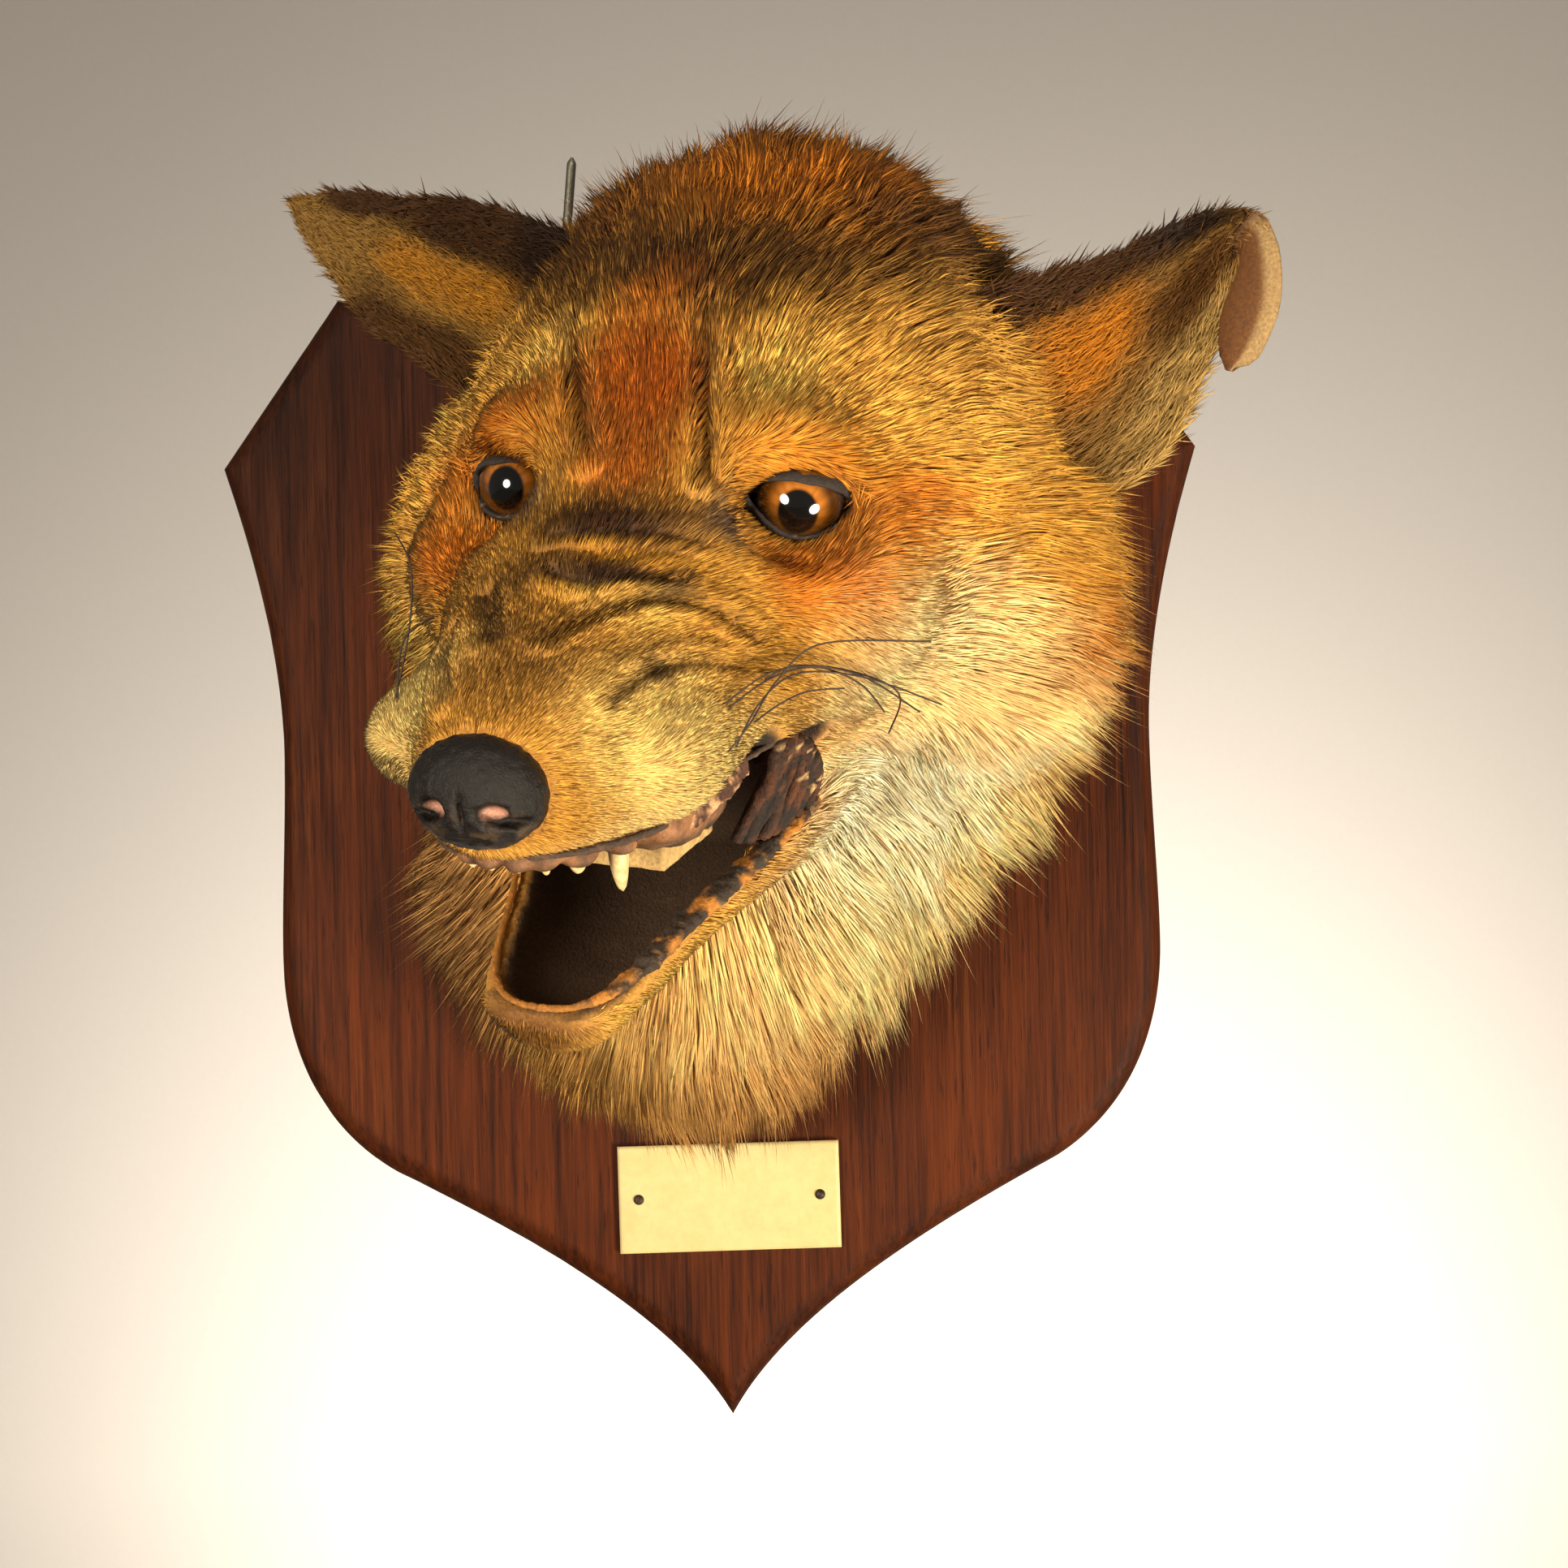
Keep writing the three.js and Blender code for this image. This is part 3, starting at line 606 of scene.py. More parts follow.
class Tree:
    """The node tree of one material."""

    def __init__(self, name: str) -> None:
        """Starts an empty material with a principled shader."""
        self.material = bpy.data.materials.new(name)
        self.material.use_nodes = True
        self.nodes = self.material.node_tree.nodes
        self.shader = self.nodes["Principled BSDF"]

    def node(self, kind: str, inputs: dict[str, object] | None = None,
             **settings: object) -> bpy.types.Node:
        """Adds a node.

        Args:
            kind: its Blender type name.
            inputs: values, Sums or sockets by input name.
            settings: properties of the node itself.

        Returns:
            The node.
        """
        made = self.nodes.new(kind)
        for key, value in settings.items():
            setattr(made, key, value)
        for key, value in (inputs or {}).items():
            self.feed(made.inputs[key], value)
        return made

    def feed(self, target: bpy.types.NodeSocket, value: object) -> None:
        """Sets a socket or links something to it."""
        if isinstance(value, Sum):
            value = value.socket
        if isinstance(value, bpy.types.NodeSocket):
            self.material.node_tree.links.new(value, target)
        else:
            target.default_value = value

    def maths(self, operation: str, a: Sum, b: Sum | float) -> Sum:
        """One sum of two numbers."""
        made = self.node("ShaderNodeMath", operation=operation)
        self.feed(made.inputs[0], a)
        self.feed(made.inputs[1], b)
        return Sum(self, made.outputs[0])

    def place(self, scale: Point = (1, 1, 1), turn: Point = (0, 0, 0)) -> bpy.types.NodeSocket:
        """Object coordinates, scaled and turned."""
        source = self.node("ShaderNodeTexCoord").outputs["Object"]
        return self.node("ShaderNodeMapping", {
            "Vector": source, "Scale": scale, "Rotation": turn}).outputs["Vector"]

    def noise(self, vector: bpy.types.NodeSocket, scale: float, detail: float = 3.0,
              roughness: float = 0.55) -> Sum:
        """Fractal noise, nought to one."""
        made = self.node("ShaderNodeTexNoise", {
            "Vector": vector, "Scale": scale, "Detail": detail, "Roughness": roughness})
        return Sum(self, made.outputs["Fac"])

    def mix(self, share: Sum | float, a: object, b: object, blend: str = "MIX") -> Sum:
        """Mixes two colours, each a Sum or three numbers."""
        made = self.node("ShaderNodeMix", data_type="RGBA", blend_type=blend)
        self.feed(made.inputs[0], share)
        for target, value in ((made.inputs[6], a), (made.inputs[7], b)):
            self.feed(target, value if isinstance(value, Sum) else (*value, 1.0))
        return Sum(self, made.outputs[2])

    def tint(self) -> Sum:
        """The vertex colours of the piece."""
        return Sum(self, self.node("ShaderNodeVertexColor", layer_name="Tint").outputs["Color"])

    def bump(self, height: Sum, distance: float, strength: float = 1.0) -> bpy.types.NodeSocket:
        """A normal bent by a height, its distance in metres."""
        return self.node("ShaderNodeBump", {
            "Height": height, "Distance": distance, "Strength": strength}).outputs["Normal"]

    def finish(self, **values: object) -> bpy.types.Material:
        """Feeds the shader by input name, underscores for blanks, and gives the material."""
        for key, value in values.items():
            name = key.replace("_", " ")
            if isinstance(value, tuple) and len(value) == 3:
                value = (*value, 1.0)
            self.feed(self.shader.inputs[name], value)
        return self.material


@dataclass(frozen=True)
class FurFinish:
    """Hair coloured by vertex, with finer strands drawn along each tuft."""

    name: str = "fur"
    roughness: float = 0.62

    def make(self) -> bpy.types.Material:
        """The material."""
        tree = Tree(self.name)
        along = tree.node("ShaderNodeUVMap", uv_map="Strand").outputs["UV"]
        streaks = tree.node("ShaderNodeMapping", {"Vector": along, "Scale": (9.0, 0.7, 1.0)})
        strands = tree.noise(streaks.outputs["Vector"], 1.0, 2.0)
        shade = tree.mix(strands.fit(0.3, 0.7), (0.66, 0.62, 0.58), (1.28, 1.26, 1.22))
        colour = tree.mix(1.0, tree.tint(), shade, "MULTIPLY")
        return tree.finish(Base_Color=colour, Roughness=self.roughness, Specular_IOR_Level=0.25,
                           Normal=tree.bump(strands, 0.0002, 0.6))


@dataclass(frozen=True)
class SkinFinish:
    """Short fur over the hide, coloured by vertex and broken up by a fine lie of hair."""

    name: str = "hide"

    def make(self) -> bpy.types.Material:
        """The material."""
        tree = Tree(self.name)
        fine = tree.noise(tree.place((1.0, 0.35, 1.0), (0.2, 0.0, 0.3)), 1500.0, 4.0, 0.65)
        patches = tree.noise(tree.place(), 160.0, 3.0)
        shade = tree.mix(fine.fit(0.3, 0.7), (0.62, 0.58, 0.54), (1.25, 1.22, 1.18))
        colour = tree.mix(1.0, tree.tint(), shade, "MULTIPLY")
        return tree.finish(Base_Color=colour, Roughness=0.8,
                           Normal=tree.bump(fine + patches * 0.4, 0.0006, 0.8))


@dataclass(frozen=True)
class OakFinish:
    """Stained oak with an upright grain, rubbed pale in streaks."""

    name: str = "oak"
    dark: Colour = (0.019, 0.0034, 0.0006)
    middle: Colour = (0.118, 0.0225, 0.0024)
    rubbed: Colour = (0.15, 0.047, 0.013)

    def make(self) -> bpy.types.Material:
        """The material."""
        tree = Tree(self.name)
        broad = tree.noise(tree.place((1.0, 1.0, 0.12)), 75.0, 4.0, 0.6)
        grain = tree.noise(tree.place((1.0, 1.0, 0.03)), 620.0, 5.0, 0.7)
        pores = tree.noise(tree.place((1.0, 1.0, 0.05)), 1900.0, 2.0, 0.5)
        patches = tree.noise(tree.place((1.0, 1.0, 0.5)), 22.0, 3.0, 0.6)
        wood = tree.mix((grain * 0.6 + broad * 0.4).fit(0.36, 0.62), self.dark, self.middle)
        worn = (patches.fit(0.5, 0.68) * grain.fit(0.46, 0.6)) * 0.55
        wood = tree.mix(worn, wood, self.rubbed)
        wood = tree.mix(pores.fit(0.62, 0.7) * 0.7, wood, self.dark)
        # the shield's vertex colours multiply in here, and with them its painted shade towards the
        # top left
        wood = tree.mix(1.0, wood, tree.tint(), "MULTIPLY")
        rough_wax = patches * 0.25 + 0.5
        return tree.finish(Base_Color=wood, Roughness=rough_wax, Specular_IOR_Level=0.12,
                           Normal=tree.bump(grain + pores * 0.5, 0.0004, 0.7))


@dataclass(frozen=True)
class PlainFinish:
    """One colour with soft mottling and a fine bump."""

    name: str
    colour: Colour
    mottle: Colour
    roughness: float = 0.6
    metallic: float = 0.0
    grain: float = 900.0
    depth: float = 0.0003
    share: float = 0.6

    def make(self) -> bpy.types.Material:
        """The material."""
        tree = Tree(self.name)
        spots = tree.noise(tree.place(), self.grain, 4.0, 0.6)
        wide = tree.noise(tree.place(), self.grain / 7.0, 3.0, 0.6)
        colour = tree.mix((spots * 0.5 + wide * 0.5).fit(0.4, 0.62) * self.share,
                          self.colour, self.mottle)
        return tree.finish(Base_Color=colour, Roughness=self.roughness,
                           Metallic=self.metallic, Normal=tree.bump(spots, self.depth, 0.7))


@dataclass(frozen=True)
class TintFinish:
    """Vertex colours with a fine bump, for leather, plaster and teeth."""

    name: str
    roughness: float = 0.5
    grain: float = 1400.0
    depth: float = 0.0003
    coat: float = 0.0
    shine: float = 0.5

    def make(self) -> bpy.types.Material:
        """The material."""
        tree = Tree(self.name)
        spots = tree.noise(tree.place(), self.grain, 4.0, 0.65)
        shade = tree.mix(spots.fit(0.3, 0.7), (0.7, 0.68, 0.66), (1.25, 1.25, 1.25))
        colour = tree.mix(1.0, tree.tint(), shade, "MULTIPLY")
        return tree.finish(Base_Color=colour, Roughness=self.roughness, Coat_Weight=self.coat,
                           Specular_IOR_Level=self.shine,
                           Normal=tree.bump(spots, self.depth, 0.8))


# ------------------------------------------------------------------------- the animal's form

@dataclass
class Anatomy:
    """Fields and frames of the mask, out to the tips of the coat."""

    head: Placement = field(default_factory=lambda: Placement(
        rotation("Z", -18.1) @ rotation("X", 14.1) @ rotation("Y", 6.5),
        np.array([-6.4, -149.2, 72.7])))
    gape: float = 22.5
    swing: float = -3.2
    hinge: Point = (0.0, 28.0, -45.0)
    jaw_rim: float = -53.0
    skull_sections: Array = field(default_factory=lambda: np.array([
        [-84, 6, -30, -47, -39, 2.2], [-78, 13, -25, -50, -40, 2.3],
        [-66, 20, -19, -52, -41, 2.4], [-50, 27, -13.5, -53, -41, 2.3],
        [-34, 32, -6, -53, -38, 2.2], [-20, 36, 3, -54, -30, 2.2],
        [-6, 42, 16, -56, -24, 2.2], [10, 50, 30, -58, -20, 2.2],
        [28, 58, 43, -60, -16, 2.15], [48, 65, 55, -60, -12, 2.1],
        [70, 68, 67, -58, -10, 2.1], [90, 62, 69, -52, -8, 2.0],
        [112, 34, 42, -30, 0, 2.0]]))
    jaw_sections: Array = field(default_factory=lambda: np.array([
        [-62, 7, -53, -62, -54, 2.2], [-58, 13, -53, -65, -54, 2.4],
        [-46, 17, -53, -67, -54, 2.4], [-30, 20.5, -52, -70, -54, 2.3],
        [-10, 27.5, -51, -74, -54, 2.2], [10, 33, -46, -80, -56, 2.2],
        [30, 35, -42, -82, -58, 2.2], [50, 30, -44, -78, -58, 2.2]]))
    trough_sections: Array = field(default_factory=lambda: np.array([
        [-58, 6, -40, -57, -46, 2.2], [-54, 10, -40, -60, -46, 2.4],
        [-44, 13.5, -40, -62, -46, 2.4], [-30, 16.5, -40, -66, -46, 2.3],
        [-10, 22, -40, -69, -46, 2.2], [10, 24, -40, -70, -46, 2.2],
        [24, 14, -40, -60, -46, 2.2]]))
    lip_line: tuple = ((-66, -50), (-50, -49.5), (-34, -46.5), (-18, -42.5), (-8, -40.5),
                       (-1, -43.5), (0.5, -50), (-4, -59))
    eye_spread: float = 27.5
    eye_depth: float = 2.0
    eye_radius: float = 8.8
    jaw: Placement = field(init=False)
    mouth_outline: Array = field(init=False)

    def __post_init__(self) -> None:
        """Works out the jaw's frame and the mouth's outline."""
        turn = rotation("Z", self.swing) @ rotation("X", self.gape)
        hinge = np.array(self.hinge)
        self.jaw = Placement(turn, hinge - turn @ hinge)
        back, front = self.jaw.outward(np.array([[0, -18, self.jaw_rim],
                                                 [0, -110, self.jaw_rim]]))
        self.mouth_outline = np.vstack([
            [(-110, -50)], spline(self.lip_line, 15), [back[1:], front[1:]]])

    def skull(self, q: Array) -> Array:
        """Cranium, cheeks and muzzle in the head frame."""
        side = mirrored(q)
        d = loft(q, self.skull_sections)
        d = smooth_min(d, ellipsoid(side, (23, 4, 10), (14, 14, 9)), 8)
        d = smooth_min(d, ellipsoid(q, (-26, -43, -37), (10, 20, 9)), 7)
        d = smooth_min(d, ellipsoid(q, (23, -47, -36), (9, 17, 9)), 7)
        d = smooth_min(d, ellipsoid(side, (36, 10, -18), (18, 24, 16)), 10)
        d = smooth_min(d, ellipsoid(side, (50, 56, -26), (31, 38, 38)), 14)
        return smooth_max(d, -ellipsoid(side, (33, -13, -1), (13, 11, 9)), 5)

    def neck(self, p: Array) -> Array:
        """Ruff and nape in the row frame."""
        d = spindle(p, (1, -40, 8), (75, 60, 74), 1.72)
        d = smooth_min(d, ellipsoid(p, (11, -52, 60), (82, 56, 80)), 16)
        return smooth_min(d, ellipsoid(p, (17, -56, 108), (61, 42, 60)), 16)

    def hair_length(self, q: Array) -> Array:
        """Length of the hair at points of the head frame."""
        x, y, z = q[..., 0], q[..., 1], q[..., 2]
        length = 2.4 + 2.4 * smooth_step(-50, 0, y) + 3.5 * smooth_step(-15, 40, y)
        length = length + 7.5 * smooth_step(0, 75, y) + 8.0 * smooth_step(45, 110, y)
        cheek = smooth_step(25, 75, np.abs(x)) * smooth_step(-20, 60, y)
        low = smooth_step(-55, -95, z)
        return length + 6.0 * cheek + 8.0 * low * smooth_step(-30, 40, y)

    def hair_lift(self, q: Array) -> Array:
        """Angle of the hair over the skin in degrees."""
        y, z = q[..., 1], q[..., 2]
        lift = 17 + 5 * smooth_step(-20, 20, y) + 7 * smooth_step(20, 80, y)
        return lift + 12 * smooth_step(15, 60, y) * smooth_step(0, 45, z)

    def coat_depth(self, q: Array) -> Array:
        """How far the coat stands out from the skin."""
        return 0.85 * self.hair_length(q) * np.sin(np.radians(self.hair_lift(q)))

    def flesh(self, p: Array) -> Array:
        """Skin of the mask without its mouth, in the row frame."""
        q = self.head.inward(p)
        d = smooth_min(self.skull(q), loft(self.jaw.inward(q), self.jaw_sections), 7)
        return smooth_min(d, self.neck(p), 20) + self.coat_depth(q)

    def eye_centre(self, side: int) -> Array:
        """Centre of an eye in the head frame."""
        return np.array([side * self.eye_spread, self.eye_depth, 0.0])

    def eye_frame(self, side: int) -> Array:
        """Outward, up and forward axes of a lid opening, as columns in the head frame."""
        gaze = unit(np.array([0.40, -0.90, -0.12]) if side > 0 else np.array([-0.22, -0.97, -0.02]))
        outward = unit(np.cross(np.array([0.12 * side, 0.0, 1.0]), gaze) * -side)
        up = np.cross(outward, gaze) * -side
        return np.stack([outward, up, gaze], 1)

    def mouth(self, q: Array) -> Array:
        """The open wedge between the lips, with the right upper lip drawn up."""
        yz = q[..., 1:].copy()
        snarl = smooth_step(-60, -48, yz[..., 0]) * (1 - smooth_step(-32, -16, yz[..., 0]))
        yz[..., 1] -= 0.8 * snarl * np.clip(q[..., 0] - 21, 0, 12)
        return np.maximum(polygon_distance(yz, self.mouth_outline), np.abs(q[..., 0]) - 60)

    def skin(self, p: Array) -> Array:
        """Skin with its mouth, eye sockets and flat back, in the row frame."""
        q = self.head.inward(p)
        d = self.flesh(p)
        d = smooth_max(d, -self.mouth(q), 1.6)
        d = smooth_max(d, -loft(self.jaw.inward(q), self.trough_sections), 1.5)
        for side in (-1, 1):
            axes = self.eye_frame(side)
            e = (q - self.eye_centre(side)) @ axes
            hole = np.sqrt(((e[..., 0] - 0.6) / 10.7) ** 2 + (e[..., 1] / 5.9) ** 2) - 1
            hole = np.maximum(hole * 6.4, -e[..., 2] - 3)
            d = smooth_max(d, -hole, 2.0)
        return np.maximum(d, p[..., 1] + 18.3)


# ------------------------------------------------------------------------- markings

@dataclass(frozen=True)
class Mark:
    """A soft-edged patch of colour in the head frame."""

    at: Point
    radii: Point
    colour: Colour
    strength: float = 1.0
    both: bool = False

    def share(self, q: Array) -> Array:
        """How much of the patch shows at each point."""
        p = mirrored(q) if self.both else q
        away = np.linalg.norm((p - np.array(self.at)) / np.array(self.radii), axis=-1)
        return self.strength * (1.0 - smooth_step(0.35, 1.45, away))


@dataclass(frozen=True)
class Crease:
    """A fold pressed into the hide, with a roll of skin on each side and painted shade along its
    groove.
    """

    path: tuple[Point, ...]
    width: float
    depth: float
    dark: float = 0.8
    roll: float = 0.6

    def push(self, q: Array) -> Array:
        """How far the fold moves each point out of the hide."""
        away = path_distance(q, spline(self.path, 12))
        groove = np.exp(-(away / self.width) ** 2)
        bank = np.exp(-((away - 2.0 * self.width) / self.width) ** 2)
        return self.roll * self.depth * bank - self.depth * groove

    def gloom(self, q: Array) -> Array:
        """How strongly painted shade darkens the fold at each point, nought to one."""
        away = path_distance(q, spline(self.path, 12))
        return self.dark * np.exp(-(away / (1.35 * self.width)) ** 2)


CREASES = (
    Crease(((-24, 14, 29), (-18.9, 6, 24), (-12.5, -7.4, 14.7), (-7.6, -14.7, 7)), 1.6, 2.3, 0.97),
    Crease(((5, 14, 32), (6.7, 9, 28.7), (11.5, -4.8, 16.9), (15.2, -15.5, 4.5)), 1.5, 2.5, 0.98),
    Crease(((2.4, -60, -17), (8.2, -49, -13.9), (15.5, -40, -12.5), (22.3, -35, -14.6),
            (28.5, -31.5, -19.3)), 1.5, 2.2, 0.7),
    Crease(((15.7, -65, -24.8), (18.8, -54.6, -22), (23.9, -44, -22), (28.9, -36, -24),
            (35.7, -20.7, -27.4)), 1.3, 1.5, 0.5),
    Crease(((-17.5, -39.4, -13.2), (-14, -46, -14.8), (-11, -51.5, -15.8), (-7.5, -59, -17.3)),
           2.0, 1.5, 0.95),
    Crease(((-21.6, -43.6, -18.8), (-18, -57, -21.8), (-10, -72.7, -24.7)), 1.6, 1.8, 0.6),
    Crease(((-4, -40, -9), (2, -42, -10), (8, -40.5, -10), (16, -35, -9.7)), 1.7, 2.2, 0.97),
    Crease(((-10, -31, -4), (0, -30, -4), (9, -28, -3.5), (17, -26, -5)), 1.3, 1.8, 0.7),
    Crease(((66, 24, -17), (70, 30, -12.5), (76, 41, -9)), 1.8, 1.6, 0.6),
)


class Shade(Enum):
    """Colours of the coat, with SHADOW a painted shadow."""

    GOLD = (0.70, 0.35, 0.050)
    TAN = (0.98, 0.65, 0.185)
    YELLOW = (0.93, 0.55, 0.115)
    CREAM = (0.96, 0.645, 0.28)
    PALE = (1.0, 0.86, 0.58)
    STRAW = (0.95, 0.615, 0.255)
    RUST = (0.56, 0.130, 0.005)
    EMBER = (0.74, 0.21, 0.011)
    CHESTNUT = (0.30, 0.092, 0.005)
    ORANGE = (0.82, 0.29, 0.012)
    BROWN = (0.075, 0.026, 0.004)
    SOOT = (0.020, 0.009, 0.004)
    GRIZZLE = (0.20, 0.09, 0.018)
    SHADOW = (0.40, 0.21, 0.075)
    VIOLET = (0.11, 0.072, 0.055)


@dataclass
class Markings:
    """Where the colours of skin and coat lie."""

    marks: tuple[Mark, ...] = (
        Mark((0, 66, 60), (70, 50, 34), Shade.CHESTNUT.value, 0.8),
        Mark((4, 56, 58), (24, 24, 18), (0.68, 0.22, 0.009), 0.95),
        Mark((-2, 24, 40), (42, 13, 15), Shade.BROWN.value, 0.95),
        Mark((44, 54, 44), (24, 30, 22), Shade.BROWN.value, 0.9),
        Mark((-26, 8, 23), (12, 12, 12), Shade.YELLOW.value),
        Mark((22, 4, 22), (13, 12, 12), Shade.YELLOW.value),
        Mark((-36, 44, 40), (20, 20, 18), Shade.BROWN.value, 0.7),
        Mark((-2, 2, 19), (14, 28, 18), Shade.RUST.value),
        Mark((48, 34, 20), (24, 28, 22), (0.80, 0.43, 0.080), 0.8),
        Mark((-52, 34, 6), (20, 26, 26), Shade.YELLOW.value, 0.7),
        Mark((-70, 38, -6), (22, 26, 26), (0.95, 0.47, 0.080), 0.8),
        Mark((-28, -6, 14), (11, 8, 8), Shade.RUST.value, 0.9),
        Mark((-1, -16, 5), (9, 9, 8), Shade.RUST.value, 0.8),
        Mark((1, -27.5, -3), (17, 7.5, 7), Shade.BROWN.value, 1.0),
        Mark((-10, -40, -9), (8, 9, 6), Shade.BROWN.value, 0.6),
        Mark((20, -19, -2), (7.5, 7, 6), Shade.VIOLET.value, 1.0, True),
        Mark((10, -24, 0), (8, 4, 4), (0.24, 0.11, 0.030), 0.7),
        Mark((8, -34.5, -7), (13, 3.4, 4), (0.92, 0.44, 0.045), 1.0),
        Mark((8, -39.2, -9.8), (14, 4.1, 4.2), Shade.BROWN.value, 1.0),
        Mark((10, -46, -12.5), (14, 3.8, 3.8), (0.92, 0.47, 0.055), 0.95),
        Mark((30, -3, 6), (17, 13, 9), (0.72, 0.24, 0.010), 0.85, True),
        Mark((33, -6, -2), (14, 11, 8), Shade.BROWN.value, 0.55, True),
        Mark((36, -12, -13), (17, 13, 8), Shade.EMBER.value, 0.95, True),
        Mark((48, 8, -3), (16, 16, 7), Shade.EMBER.value, 0.85, True),
        Mark((0, -66, -21), (10, 14, 9), Shade.GRIZZLE.value, 0.4),
        Mark((14, -47, -12), (12, 8, 5), Shade.YELLOW.value, 0.8),
        Mark((20, -58, -30), (15, 20, 13), Shade.TAN.value, 0.95, True),
        Mark((24, -46, -40), (16, 26, 12), (0.95, 0.68, 0.25), 0.95, True),
        Mark((20, -40, -49), (30, 40, 6), Shade.CREAM.value, 0.7, True),
        Mark((50, 6, -34), (22, 26, 20), (0.98, 0.685, 0.345), 0.95),
        Mark((60, 40, -44), (22, 40, 22), (0.87, 0.53, 0.215), 0.85),
        Mark((-50, 10, -40), (22, 30, 26), (0.95, 0.60, 0.15), 0.9),
        Mark((34, 52, -96), (56, 60, 62), Shade.STRAW.value),
        Mark((38, 38, -70), (32, 32, 26), Shade.PALE.value, 0.95),
        Mark((0, -20, -88), (30, 40, 14), Shade.YELLOW.value, 0.8),
        Mark((10, 50, -140), (60, 60, 26), (0.54, 0.27, 0.078), 0.95),
        # painted shadow at the back of the lower right ruff
        Mark((70, 80, -70), (14, 26, 34), Shade.SHADOW.value, 0.7),
        Mark((77, 34, -24), (15, 20, 17), (0.34, 0.105, 0.004), 1.0),
        Mark((-60, 50, -90), (36, 60, 40), (0.68, 0.36, 0.125), 0.9),
        Mark((19, -55, -22), (4.5, 4, 4), Shade.BROWN.value, 0.85),
        Mark((14, -62, -26), (4, 5, 3), Shade.BROWN.value, 0.6),
        Mark((-19, -58, -22), (2.5, 9, 4), Shade.SOOT.value, 0.7),
        Mark((-13, -62, -20), (3, 14, 4), Shade.YELLOW.value, 0.9),
        Mark((-8, -50, -90), (16, 7, 5), (0.22, 0.085, 0.012), 0.9),
    )
    # colour of the painted shade laid into the creases
    fold: Colour = (0.03, 0.014, 0.006)
    pore: Colour = (0.05, 0.02, 0.006)

    def ticking(self, q: Array) -> tuple[Array, Array]:
        """Share of dark hairs, and how tips differ from roots."""
        y, z = q[:, 1], q[:, 2]
        crown = smooth_step(12, 34, y) * smooth_step(8, 34, z)
        ruff = smooth_step(25, 60, y) * (1 - smooth_step(-20, 10, z))
        bridge = smooth_step(-26, -16, z) * (1 - smooth_step(-36, -22, y))
        dark = 0.07 + 0.33 * crown + 0.05 * ruff + 0.22 * bridge
        tip = 1.12 - 0.22 * crown + 0.12 * ruff
        return dark, tip[:, None]

    def paint(self, q: Array, stray: Array | float = 0.0) -> Array:
        """Colours at points of the head frame.

        Args:
            q: the points.
            stray: how far each hair's colour comes from beside it.

        Returns:
            One colour a point.
        """
        colour = np.tile(np.array(Shade.GOLD.value), (len(q), 1))
        amount = 1.8 + 3.2 * smooth_step(-20, 20, q[:, 1:2])
        wander = q + stray + amount * drift(q, 14, 3, 5, 7)
        for mark in self.marks:
            colour = tinted(colour, mark.colour, mark.share(wander)[:, None])
        lock = noise(q * [1.0, 0.28, 0.28], 2.2, 91) * smooth_step(-34, -8, q[:, 1])
        colour = colour * (1 + 0.26 * lock)[:, None]
        uneven = q + 0.8 * noise(q, 3.0, 9)[:, None]
        # painted shade along each crease
        for crease in CREASES:
            colour = tinted(colour, self.fold, crease.gloom(uneven)[:, None])
        side = mirrored(q)
        for row in range(4):
            for k in range(6):
                pore = np.array([-67 + 5.0 * k + 1.5 * row, -26.5 - 4.2 * row - 0.5 * k])
                away = np.linalg.norm(side[:, 1:] - pore, axis=1)
                spot = (0.6 * np.exp(-(away / 0.75) ** 2) * (side[:, 0] > 12))[:, None]
                colour = tinted(colour, self.pore, spot)
        return colour


# ------------------------------------------------------------------------- skin

